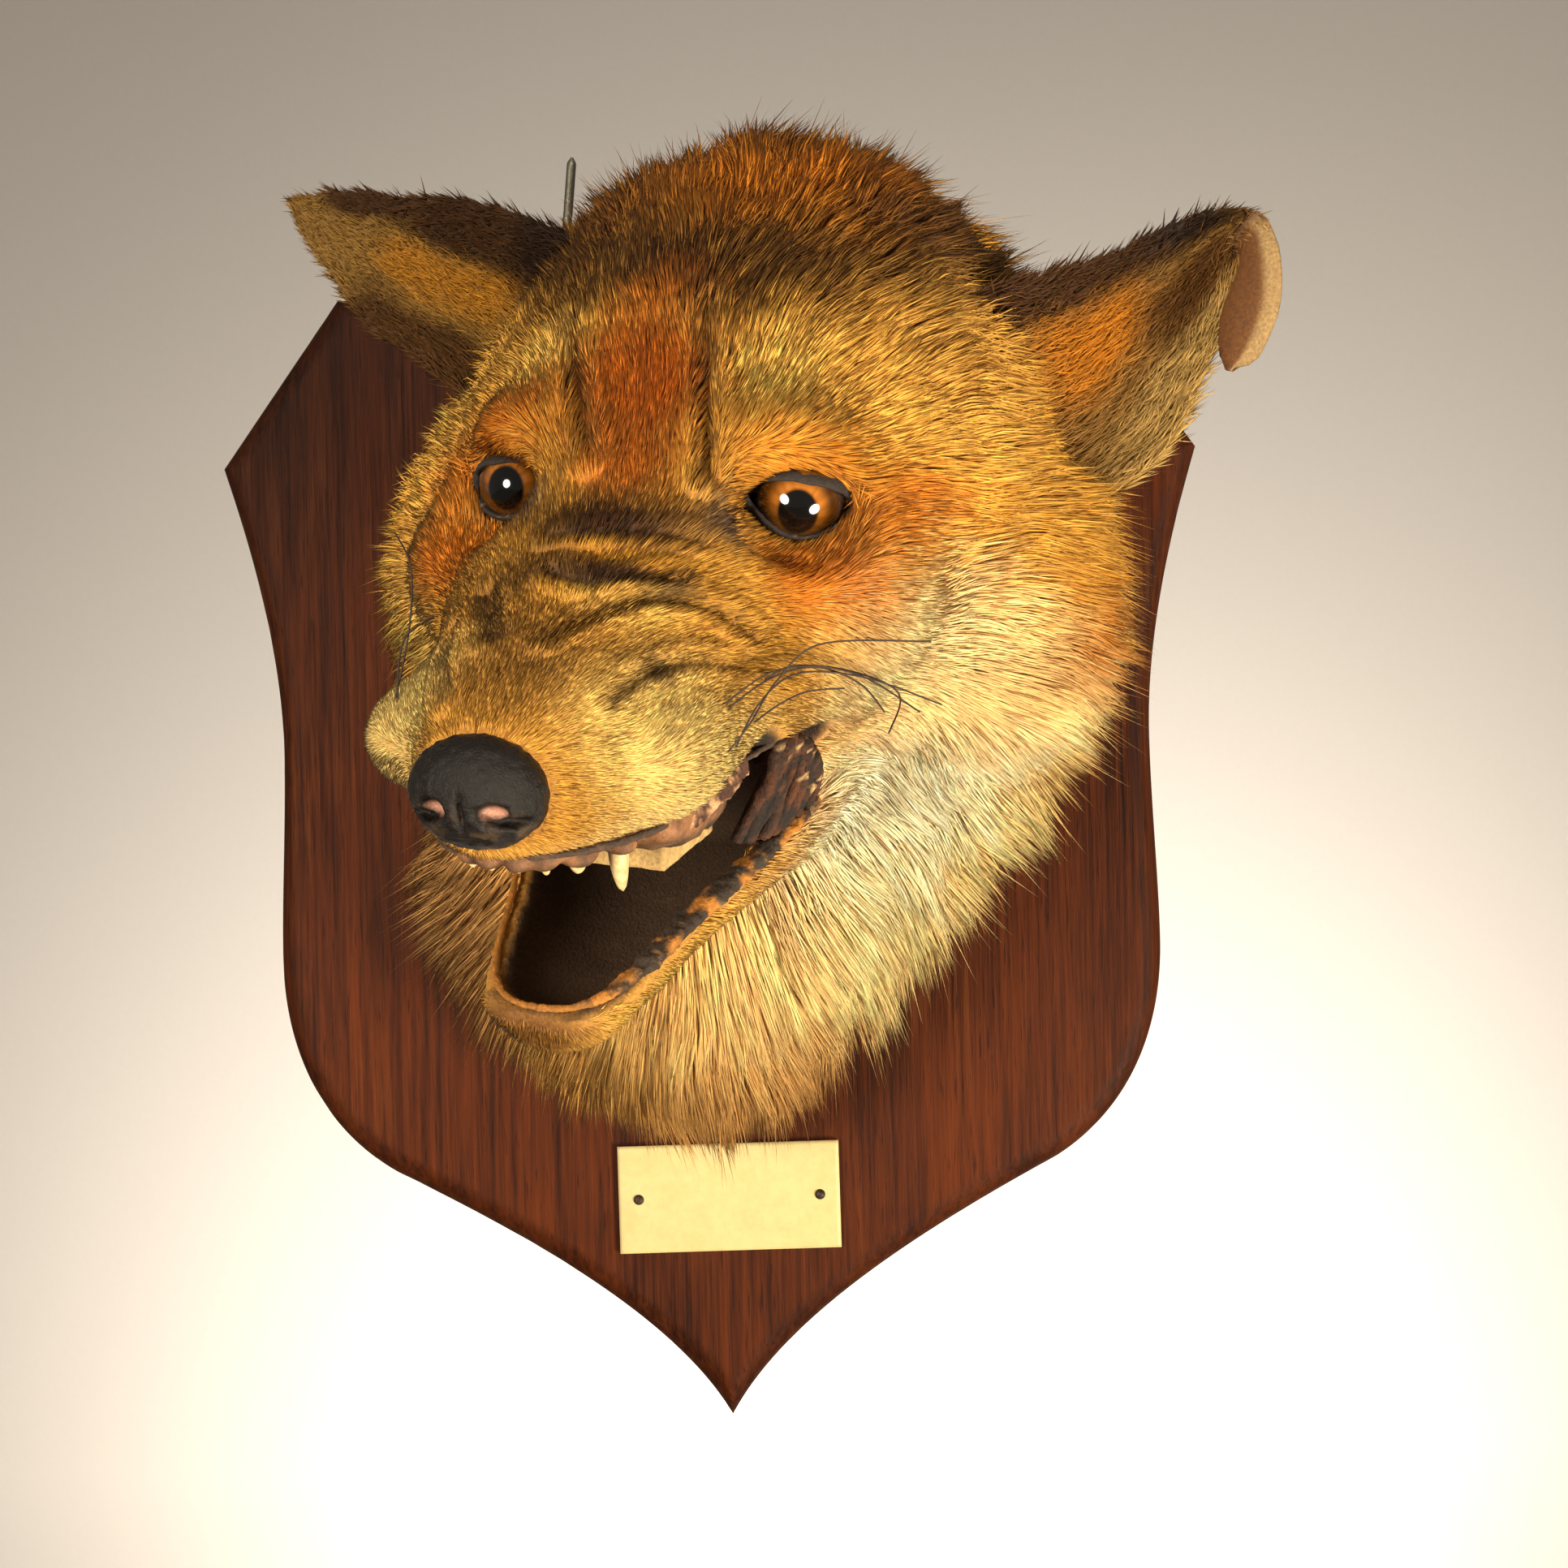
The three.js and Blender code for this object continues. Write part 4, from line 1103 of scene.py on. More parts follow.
@dataclass
class Skin:
    """The hide over the whole mask, with lids and ears."""

    anatomy: Anatomy
    markings: Markings
    step: float = 1.42
    lining: Colour = (0.055, 0.027, 0.010)
    tissue: Colour = (0.34, 0.10, 0.03)
    calm: Array = field(init=False)

    def make(self) -> Shell:
        """The hide without lids and ears."""
        low = np.array([-84.0, -222.0, -84.0])
        high = np.array([98.0, -16.0, 170.0])
        shell = largest(surface_nets(self.anatomy.skin, low, high, self.step))
        normals = shell.normals()
        self.calm = normals
        q = self.anatomy.head.inward(shell.vertices)
        near = q[:, 1] < 30
        push = np.zeros(len(q))
        for crease in CREASES:
            push[near] += crease.push(q[near])
        push += 0.35 * rough(q, 6.0, 11)
        push -= 7.5 * low_right(shell.vertices)
        shell.vertices = shell.vertices + normals * push[:, None]
        shell.colours = self.paint(shell)
        return shell

    def hollows(self, q: Array) -> tuple[Array, Array]:
        """How far points are from the open wedge and from the lower jaw's trough."""
        trough = loft(self.anatomy.jaw.inward(q), self.anatomy.trough_sections)
        return self.anatomy.mouth(q), trough

    def inside_mouth(self, q: Array) -> Array:
        """One within the jaws, nought on the outside of the mask."""
        hollow = np.minimum(*self.hollows(q))
        outside = np.abs(q[..., 0]) > 40
        return (1 - smooth_step(0.2, 1.4, hollow)) * ~outside

    def paint(self, shell: Shell) -> Array:
        """Vertex colours of the hide, with painted shade under the coat, where it meets the shield
        and up inside the mouth.
        """
        q = self.anatomy.head.inward(shell.vertices)
        # painted shade: the hide is darkened so that gaps in the coat read as shade
        colour = self.markings.paint(q) * [0.62, 0.54, 0.45]
        # painted shade: the hide darkens where it meets the shield
        colour = colour * (1 - 0.55 * smooth_step(-27, -21, shell.vertices[:, 1]))[:, None]
        inner = self.inside_mouth(q)[:, None]
        near = np.exp(-(np.linalg.norm((q - [26, 0, -60]) / [14, 16, 14], axis=1)) ** 2)
        fibre = smooth_step(-0.3, 0.5, rough(q * [1, 0.4, 1], 1.6, 15))
        tissue = (near * fibre)[:, None]
        # painted shade: the mouth's lining darkens towards the top, under the upper lip
        under_lip_shade = smooth_step(-58, -48, q[:, 2])[:, None]
        dark = np.array(self.lining) * (1 - 0.75 * under_lip_shade)
        return tinted(colour, tinted(dark, self.tissue, tissue), inner)


def low_right(p: Array) -> Array:
    """One on the lower right of the ruff, where it is pressed flat, and nought elsewhere."""
    return (smooth_step(-5, 35, p[:, 0]) * smooth_step(35, -25, p[:, 2])
            * smooth_step(-105, -75, p[:, 1]))


def largest(shell: Shell) -> Shell:
    """The largest connected part of a shell."""
    parent = np.arange(len(shell.vertices))
    faces = as_quads(shell.faces)
    for _ in range(400):
        lowest = parent[faces].min(1)
        before = parent.copy()
        for corner in range(4):
            np.minimum.at(parent, faces[:, corner], lowest)
        parent = parent[parent]
        if (before == parent).all():
            break
    names, counts = np.unique(parent, return_counts=True)
    keep = parent == names[counts.argmax()]
    number = np.cumsum(keep) - 1
    return Shell(shell.vertices[keep], number[faces[keep[faces].all(1)]])


# ------------------------------------------------------------------------- coat

def scatter(shell: Shell, density: Array, seed: int, extra: Array | None = None
            ) -> tuple[Array, Array, Array | None]:
    """Scatters roots evenly over a shell.

    Args:
        shell: what they grow on.
        density: roots a square millimetre at each vertex.
        seed: of the small jitter.
        extra: further values of the vertices, to be read at the roots.

    Returns:
        The places, the normals and the further values there.
    """
    rng = np.random.default_rng(seed)
    triangles = shell.triangles()
    corners = shell.vertices[triangles]
    middle = corners.mean(1)
    area = 0.5 * np.linalg.norm(np.cross(corners[:, 1] - corners[:, 0],
                                         corners[:, 2] - corners[:, 0]), axis=1)
    cell = ((middle - middle.min(0)) / 3.0).astype(np.int64)
    code = np.zeros(len(cell), np.int64)
    for bit in range(8):
        for axis in range(3):
            code |= ((cell[:, axis] >> bit) & 1) << (3 * bit + axis)
    order = np.argsort(code, kind="stable")
    total = np.cumsum((area * density[triangles].mean(1))[order])
    ticks = np.arange(int(total[-1])) + rng.random(int(total[-1]))
    chosen = order[np.clip(np.searchsorted(total, ticks), 0, len(order) - 1)]
    a, b = rng.random((2, len(chosen), 1))
    flip = a + b > 1
    a, b = np.where(flip, 1 - a, a), np.where(flip, 1 - b, b)
    c = corners[chosen]
    normals = shell.normals()[triangles[chosen]]
    place_at = c[:, 0] + a * (c[:, 1] - c[:, 0]) + b * (c[:, 2] - c[:, 0])
    lean = normals[:, 0] * (1 - a - b) + normals[:, 1] * a + normals[:, 2] * b
    if extra is not None:
        e = extra[triangles[chosen]]
        extra = e[:, 0] * (1 - a - b) + e[:, 1] * a + e[:, 2] * b
    return place_at, unit(lean), extra


@dataclass
class Tufts:
    """Many thin three-sided locks."""

    root: Array
    normal: Array
    start: Array
    bend: Array
    length: Array
    width: Array
    colour: Array
    tip_colour: Array
    home: Array

    def __getitem__(self, pick: Array) -> "Tufts":
        """Some of the locks."""
        return Tufts(*(getattr(self, part.name)[pick] for part in fields(self)))

    def tip(self) -> Array:
        """Where each lock ends."""
        return self.root + self.length[:, None] * (self.start + self.bend)

    def clump(self, share: float, hold: Array, rng: np.random.Generator) -> None:
        """Draws the tips towards those of a few leading locks.

        Args:
            share: how many of the locks lead.
            hold: how strongly each lock follows, nought to one.
            rng: picks the leaders.
        """
        leads = rng.random(len(self.root)) < share
        tip, spots = self.tip(), self.root[leads]
        tree = KDTree(len(spots))
        for i, spot in enumerate(spots):
            tree.insert(spot, i)
        tree.balance()
        nearest = np.array([tree.find(spot)[1] for spot in self.root])
        pull = tip[leads][nearest] - tip
        near = np.linalg.norm(pull, axis=1) < 0.8 * self.length
        self.bend = self.bend + pull * (hold * near / self.length)[:, None]

    def make(self, rings: int, seed: int) -> tuple[Shell, dict[str, Array]]:
        """The locks as one shell.

        Args:
            rings: three-cornered rings below each tip.
            seed: shifts the strand pattern of each lock.

        Returns:
            The shell and its UV maps.
        """
        n = len(self.root)
        rng = np.random.default_rng(seed)
        t = np.linspace(0, 1, rings + 1)[:-1]
        sweep = self.start[:, None] * t[None, :, None] + self.bend[:, None] * (t**2)[None, :, None]
        centre = self.root[:, None] + self.length[:, None, None] * sweep
        across = unit(np.cross(self.start, self.normal))[:, None]
        out = unit(np.cross(across, self.start[:, None]))
        taper = (1 - 0.85 * t ** 1.2)[None, :, None] * self.width[:, None, None]
        sides = np.stack([centre - across * taper * 0.5, centre + out * taper * 0.35,
                          centre + across * taper * 0.5], 2)
        size = rings * 3 + 1
        vertices = np.concatenate([sides.reshape(n, -1, 3), self.tip()[:, None]], 1)
        k = np.arange(3)
        follow = (k + 1) % 3
        pattern = [np.stack([3 * j + k, 3 * j + follow, 3 * j + 3 + follow, 3 * j + 3 + k], 1)
                   for j in range(rings - 1)]
        last = 3 * (rings - 1)
        pattern.append(np.stack([last + k, last + follow, 0 * k + size - 1, 0 * k + size - 1], 1))
        pattern.append(np.array([[2, 1, 0, 0]]))
        faces = (np.vstack(pattern)[None] + size * np.arange(n)[:, None, None]).reshape(-1, 4)
        level = np.concatenate([np.repeat(t, 3), [1.0]])[None, :, None]
        mixed = self.colour[:, None] * (1 - level) + self.tip_colour[:, None] * level
        # painted shade and light: each lock darkens towards its root, deep in the coat, and
        # lightens towards its tip
        root_painted_shade = 0.80 if rings == 1 else 0.70
        colours = mixed * (root_painted_shade + (1.15 - root_painted_shade) * np.minimum(level * 1.6, 1.0))
        edge = np.concatenate([np.tile([0.0, 0.5, 1.0], rings), [0.5]])
        strand = np.stack([edge + rng.random((n, 1)) * 40,
                           level[..., 0] * self.length[:, None] / 6 + rng.random((n, 1)) * 9], -1)
        corner = np.stack([edge, level[0, :, 0]], 1)
        laid = self.home[:, None] + 0.003 * corner[None]
        maps = {"OFBake": laid.reshape(-1, 2), "Strand": strand.reshape(-1, 2)}
        return Shell(vertices.reshape(-1, 3), faces, np.clip(colours.reshape(-1, 3), 0, 1)), maps


class Patch(Enum):
    """Regions of the coat, one piece each, with the rings of their tufts."""

    MUZZLE = ("coat_muzzle", 1)
    FACE = ("coat_face", 1)
    BROW = ("coat_brow", 2)
    CROWN = ("coat_crown", 2)
    CHEEK_LEFT = ("coat_cheek_left", 2)
    CHEEK_RIGHT = ("coat_cheek_right", 2)
    THROAT_LEFT = ("coat_throat_left", 2)
    THROAT_RIGHT = ("coat_throat_right", 2)
    NAPE_LEFT = ("coat_nape_left", 2)
    NAPE_RIGHT = ("coat_nape_right", 2)


@dataclass
class Coat:
    """Fur over the hide."""

    anatomy: Anatomy
    markings: Markings
    skin: Skin
    seed: int = 5
    board: float = -18.3
    sunk: float = 0.15
    least_rise: float = 0.30
    stray: float = 2.6
    leaders: float = 0.09

    def bare(self, p: Array, q: Array) -> Array:
        """Whether nothing grows here: mouth, eyes, nose pad and the flat back."""
        wedge, trough = self.skin.hollows(q)
        edge = np.minimum(wedge, trough) < 1.6
        bare = (edge & (np.abs(q[:, 0]) < 40)) | (p[:, 1] > -19.5)
        bare |= (wedge < 3.2) & (trough < 5.5)
        for side in (-1, 1):
            e = (q - self.anatomy.eye_centre(side)) @ self.anatomy.eye_frame(side)
            bare |= (np.hypot((e[:, 0] - 0.6) / 11.3, e[:, 1] / 5.6) < 1) & (e[:, 2] > 0)
        return bare | (ellipsoid(q, (0, -82, -37.2), (11.5, 8.4, 9)) < 0.4)

    def density(self, p: Array) -> Array:
        """Tufts a square millimetre."""
        q = self.anatomy.head.inward(p)
        base = 4.6 - 1.2 * smooth_step(-40, -5, q[:, 1]) - 1.7 * smooth_step(-15, 45, q[:, 1])
        base = base - 0.9 * smooth_step(-70, -42, p[:, 1])
        return np.where(self.bare(p, q), 0.0, base)

    def guard_density(self, p: Array) -> Array:
        """Long thin outer hairs a square millimetre."""
        q = self.anatomy.head.inward(p)
        base = 0.22 * smooth_step(0, 30, q[:, 1]) * (1 - smooth_step(-60, -35, p[:, 1]))
        return np.where(self.bare(p, q), 0.0, base)

    def lie(self, p: Array, q: Array) -> Array:
        """Way the hair points before it leans, in the row frame."""
        side = np.sign(q[:, :1]) * np.minimum(np.abs(q[:, :1]) / 30, 1)
        back = smooth_step(-10, 60, q[:, 1])[:, None]
        flow = np.hstack([0.25 * side + 0.3 * back * q[:, :1] / 60, np.ones((len(q), 1)),
                          -0.12 * (1 - back) + back * q[:, 2:] / 110])
        swirl = drift(q, 16, 21, 22, 23)
        row = self.anatomy.head.direct(flow + 0.32 * swirl)
        hang = smooth_step(30, -60, p[:, 2])[:, None] * back
        row[:, 2:] -= 0.7 * hang
        return row

    def region(self, p: Array, q: Array) -> Array:
        """Index into Patch for each root."""
        names = list(Patch)
        right = q[:, 0] > 0
        pick = np.full(len(q), names.index(Patch.FACE))
        pick[q[:, 1] < -24] = names.index(Patch.MUZZLE)
        pick[q[:, 1] > 8] = names.index(Patch.BROW)
        rear = q[:, 1] > 28
        pick[rear & right] = names.index(Patch.CHEEK_RIGHT)
        pick[rear & ~right] = names.index(Patch.CHEEK_LEFT)
        pick[rear & (q[:, 2] > 14)] = names.index(Patch.CROWN)
        low = (q[:, 2] < -56) & (q[:, 1] > -20)
        pick[low & right] = names.index(Patch.THROAT_RIGHT)
        pick[low & ~right] = names.index(Patch.THROAT_LEFT)
        behind = p[:, 1] > -62
        pick[behind & right] = names.index(Patch.NAPE_RIGHT)
        pick[behind & ~right] = names.index(Patch.NAPE_LEFT)
        return pick

    def home(self, q: Array) -> Array:
        """Place on the hide laid flat: round the head's long axis and along it."""
        from_middle = unit(q - np.array([0.0, 40.0, -20.0]))
        return np.stack([np.arctan2(from_middle[:, 0], from_middle[:, 2]) / math.tau + 0.5,
                         from_middle[:, 1] * 0.5 + 0.5], -1)

    def lay(self, root: Array, normal: Array, fold: Array, guard: bool, seed: int) -> Tufts:
        """Tufts on the roots, lying with the coat and clear of its folds.

        Args:
            root: where they grow, in the row frame.
            normal: normals of the hide as if it had no folds.
            fold: its true normals.
            guard: whether they are the long outer hairs.
            seed: of every random share.

        Returns:
            The tufts, their tips drawn together.
        """
        q = self.anatomy.head.inward(root)
        rng = np.random.default_rng(seed)
        n = len(root)
        length = self.anatomy.hair_length(q) * (0.75 + 0.5 * rng.random(n))
        length = length * (1 - 0.42 * smooth_step(-62, -24, root[:, 1]))
        length = length * (1 - 0.15 * low_right(root))
        lift = self.anatomy.hair_lift(q) * (0.6 + 0.7 * rng.random(n))
        lift = lift * (1 - 0.3 * low_right(root))
        if guard:
            length, lift = length * 1.12 + 0.8, lift + 8
        lift = np.radians(lift)[:, None]
        start = leaning(self.lie(root, q), normal, lift)
        start = start + fold * np.maximum(self.least_rise - dot(start, fold), 0)
        wave = drift(root, 7.0, 31, 32, 33)
        bend = -0.25 * normal * np.sin(lift) + 0.12 * (rng.random((n, 3)) - 0.5)
        bend = bend + 0.22 * wave * smooth_step(5, 14, length)[:, None]
        bend[:, 2] -= 0.16 * smooth_step(8, 18, length)
        width = (0.20 + 0.006 * length) if guard else (0.36 + 0.020 * length)
        width = width * (1 + 0.6 * smooth_step(-70, -42, root[:, 1]))
        room = (self.board - 1.0 - root[:, 1]) / length
        excess = np.maximum(start[:, 1] + bend[:, 1] - np.maximum(room, 0.0), 0)
        start[:, 1] -= excess
        away = root[:, [0, 2]] - np.array([8.0, 50.0])
        start[:, [0, 2]] += 0.6 * excess[:, None] * unit(away)
        stray = self.stray * smooth_step(-45, 0, q[:, 1:2]) * rng.standard_normal((n, 3))
        colour = self.markings.paint(q + 0.5 * rng.standard_normal((n, 3)), stray)
        colour = colour * (0.80 + 0.38 * rng.random((n, 1)))
        dark, tip = self.markings.ticking(q)
        ticked = (rng.random(n) < dark)[:, None]
        colour = np.where(ticked, colour * [0.44, 0.37, 0.29], colour)
        tufts = Tufts(root - self.sunk * normal, normal, start, bend, length, width, colour,
                      np.where(ticked, colour, colour * tip), self.home(q))
        hold = 0.42 * smooth_step(2.0, 6.0, length) * (0.4 if guard else 1.0)
        tufts.clump(self.leaders, hold, rng)
        return tufts

    def grow(self, hide: Shell) -> list[tuple[str, Shell, dict[str, Array]]]:
        """Every region's tufts, with names and UV maps."""
        grown = []
        for guard in (False, True):
            density = self.guard_density if guard else self.density
            root, normal, calm = scatter(hide, density(hide.vertices), self.seed + 30 * guard,
                                         self.skin.calm)
            fold, normal = normal, unit(0.3 * normal + 0.7 * calm)
            tufts = self.lay(root, normal, fold, guard, self.seed + 1 + 30 * guard)
            blur = 8.0 * np.random.default_rng(9).standard_normal(root.shape)
            region = self.region(root + blur, self.anatomy.head.inward(root) + blur)
            if guard:
                shell, maps = spread(tufts).make(2, 77)
                grown.append(("coat_guard_hairs", shell, maps))
                continue
            for index, patch in enumerate(Patch):
                name, rings = patch.value
                pick = region == index
                if pick.any():
                    shell, maps = spread(tufts[pick]).make(rings, self.seed + index)
                    grown.append((name, shell, maps))
        return grown


def spread(tufts: Tufts) -> Tufts:
    """The same tufts with their unwrap spread over the whole sheet."""
    span = np.maximum(np.ptp(tufts.home, axis=0), 1e-6)
    tufts.home = 0.01 + 0.975 * (tufts.home - tufts.home.min(0)) / span
    return tufts


@dataclass
class Ear:
    """An ear as a cupped leaf from a spine, widths and cup depths."""

    spine: tuple[Point, ...]
    across: tuple[Point, ...]
    half_widths: tuple[float, ...]
    cups: tuple[float, ...]
    facing: int
    ground: Colour
    bands: tuple
    bare_from: float = 2.0
    dim: float = 1.0
    thickness: float = 2.6
    rows: int = 44
    columns: int = 26
    back_colour: Colour = (0.16, 0.065, 0.02)
    leaf: Array = field(init=False)

    def surface(self, u: Array, v: Array, side: float) -> Array:
        """Points of the leaf in the head frame.

        Args:
            u: nought at the root and one at the tip.
            v: minus one to one across the blade.
            side: nought on the hollow face and one on the back.

        Returns:
            The points, in the shape of u with a last axis of three.
        """
        fine = np.linspace(0, 1, 200)
        spine = spline(self.spine, 200)
        ahead = unit(np.gradient(spine, axis=0))
        across = spline(self.across, 200)
        across = unit(across - ahead * dot(ahead, across))
        facing = np.cross(ahead, across) * self.facing
        knots = np.linspace(0, 1, len(self.half_widths))
        at = [np.interp(u, fine, part[:, a]) for part in (spine, across, facing) for a in range(3)]
        middle, over, face = (np.stack(at[i:i + 3], -1) for i in (0, 3, 6))
        end = np.clip((u - 0.90) / 0.10, 0, 1)
        width = np.interp(u, knots, self.half_widths) * np.sqrt(np.maximum(1 - end ** 2, 0.03))
        cup = np.interp(u, knots, self.cups)
        thick = self.thickness * (1 - 0.5 * u) * (1 - 0.6 * np.abs(v) ** 4)
        lift = cup * (v ** 2 - 0.5) - thick * side
        return middle + over * (width * v)[..., None] + face * lift[..., None]

    def make(self, head: Placement) -> Shell:
        """The leaf as a closed shell in the row frame."""
        u, v = np.meshgrid(np.linspace(0, 1, self.rows + 1), np.linspace(-1, 1, self.columns + 1),
                           indexing="ij")
        sheets = [self.surface(u, v, side).reshape(-1, 3) for side in (0.0, 1.0)]
        n = self.columns + 1
        size = (self.rows + 1) * n
        front = lattice(self.rows, self.columns, n)
        faces = [front, front[:, ::-1] + size]
        rim = np.concatenate([np.arange(self.columns), n * np.arange(self.rows) + self.columns,
                              self.rows * n + np.arange(self.columns, 0, -1),
                              n * np.arange(self.rows, 0, -1)])
        after = np.roll(rim, -1)
        faces.append(np.stack([after, rim, rim + size, after + size], 1))
        quads = np.vstack(faces)
        if self.facing > 0:
            quads = quads[:, ::-1]
        q = np.vstack(sheets)
        ragged = 1.2 * noise(q, 5.0, 95) * (np.abs(np.tile(v.ravel(), 2)) > 0.8)
        q[:, 2] += ragged
        sheet = np.stack([u, v], -1).reshape(-1, 2)
        self.leaf = np.vstack([np.column_stack([sheet, 0 * sheet[:, 0]]),
                               np.column_stack([sheet, 0 * sheet[:, 0] + 1])])
        q = q + 0.5 * drift(q, 7.0, 90, 91, 92)
        shell = Shell(head.outward(q), quads)
        shell.colours = self.paint(self.leaf) * 0.75
        return shell

    def paint(self, leaf: Array) -> Array:
        """Colours of the ear.

        Args:
            leaf: rows of place along, place across and nought for the hollow face.

        Returns:
            One colour a row.
        """
        u, v, back = leaf.T
        wander = 0.16 * noise(np.stack([u * 6, v * 4, back], -1), 1.0, 5)
        v = v + wander
        colour = np.tile(np.array(self.ground), (len(leaf), 1))
        for low, high, start, end, shade in self.bands:
            share = (smooth_step(start - 0.07, start + 0.07, u)
                     * (1 - smooth_step(end - 0.07, end + 0.07, u))
                     * smooth_step(low - 0.18, low + 0.18, v)
                     * (1 - smooth_step(high - 0.18, high + 0.18, v)))[:, None]
            colour = tinted(colour, shade, share)
        back = (smooth_step(0.4, 0.6, back) * (u < self.bare_from))[:, None]
        return self.dim * tinted(colour, self.back_colour, back)

    def fur(self, shell: Shell, head: Placement, seed: int) -> Tufts:
        """Short hair on both faces, running to the tip."""
        u = self.leaf[:, 0]
        density = np.where((u < self.bare_from) & (u > 0.06), 2.0, 0.0)
        root, normal, leaf = scatter(shell, density, seed, self.leaf)
        rng = np.random.default_rng(seed)
        n = len(root)
        ahead = unit(np.diff(spline(self.spine, 60), axis=0))
        index = np.clip((leaf[:, 0] * 59).astype(int), 0, 58)
        aim = head.direct(ahead[index] + 0.30 * rng.standard_normal((n, 3)))
        lift = np.radians(12 + 22 * rng.random(n))[:, None]
        start = leaning(aim, normal, lift)
        bend = -0.2 * normal * np.sin(lift) + 0.12 * (rng.random((n, 3)) - 0.5)
        length = (3.4 + 4.0 * (1 - leaf[:, 0]) ** 2) * (0.6 + 0.7 * rng.random(n))
        colour = self.paint(leaf) * (0.7 + 0.55 * rng.random((n, 1)))
        tufts = Tufts(root - 0.15 * normal, normal, start, bend, length, 0.34 + 0.03 * length,
                      colour, colour * 1.08, leaf[:, :2] * [0.48, 0.5])
        tufts.home[:, 0] += 0.5 * (leaf[:, 2] > 0.5)
        tufts.clump(0.12, 0.35 + 0 * length, rng)
        return tufts


# ------------------------------------------------------------------------- face parts

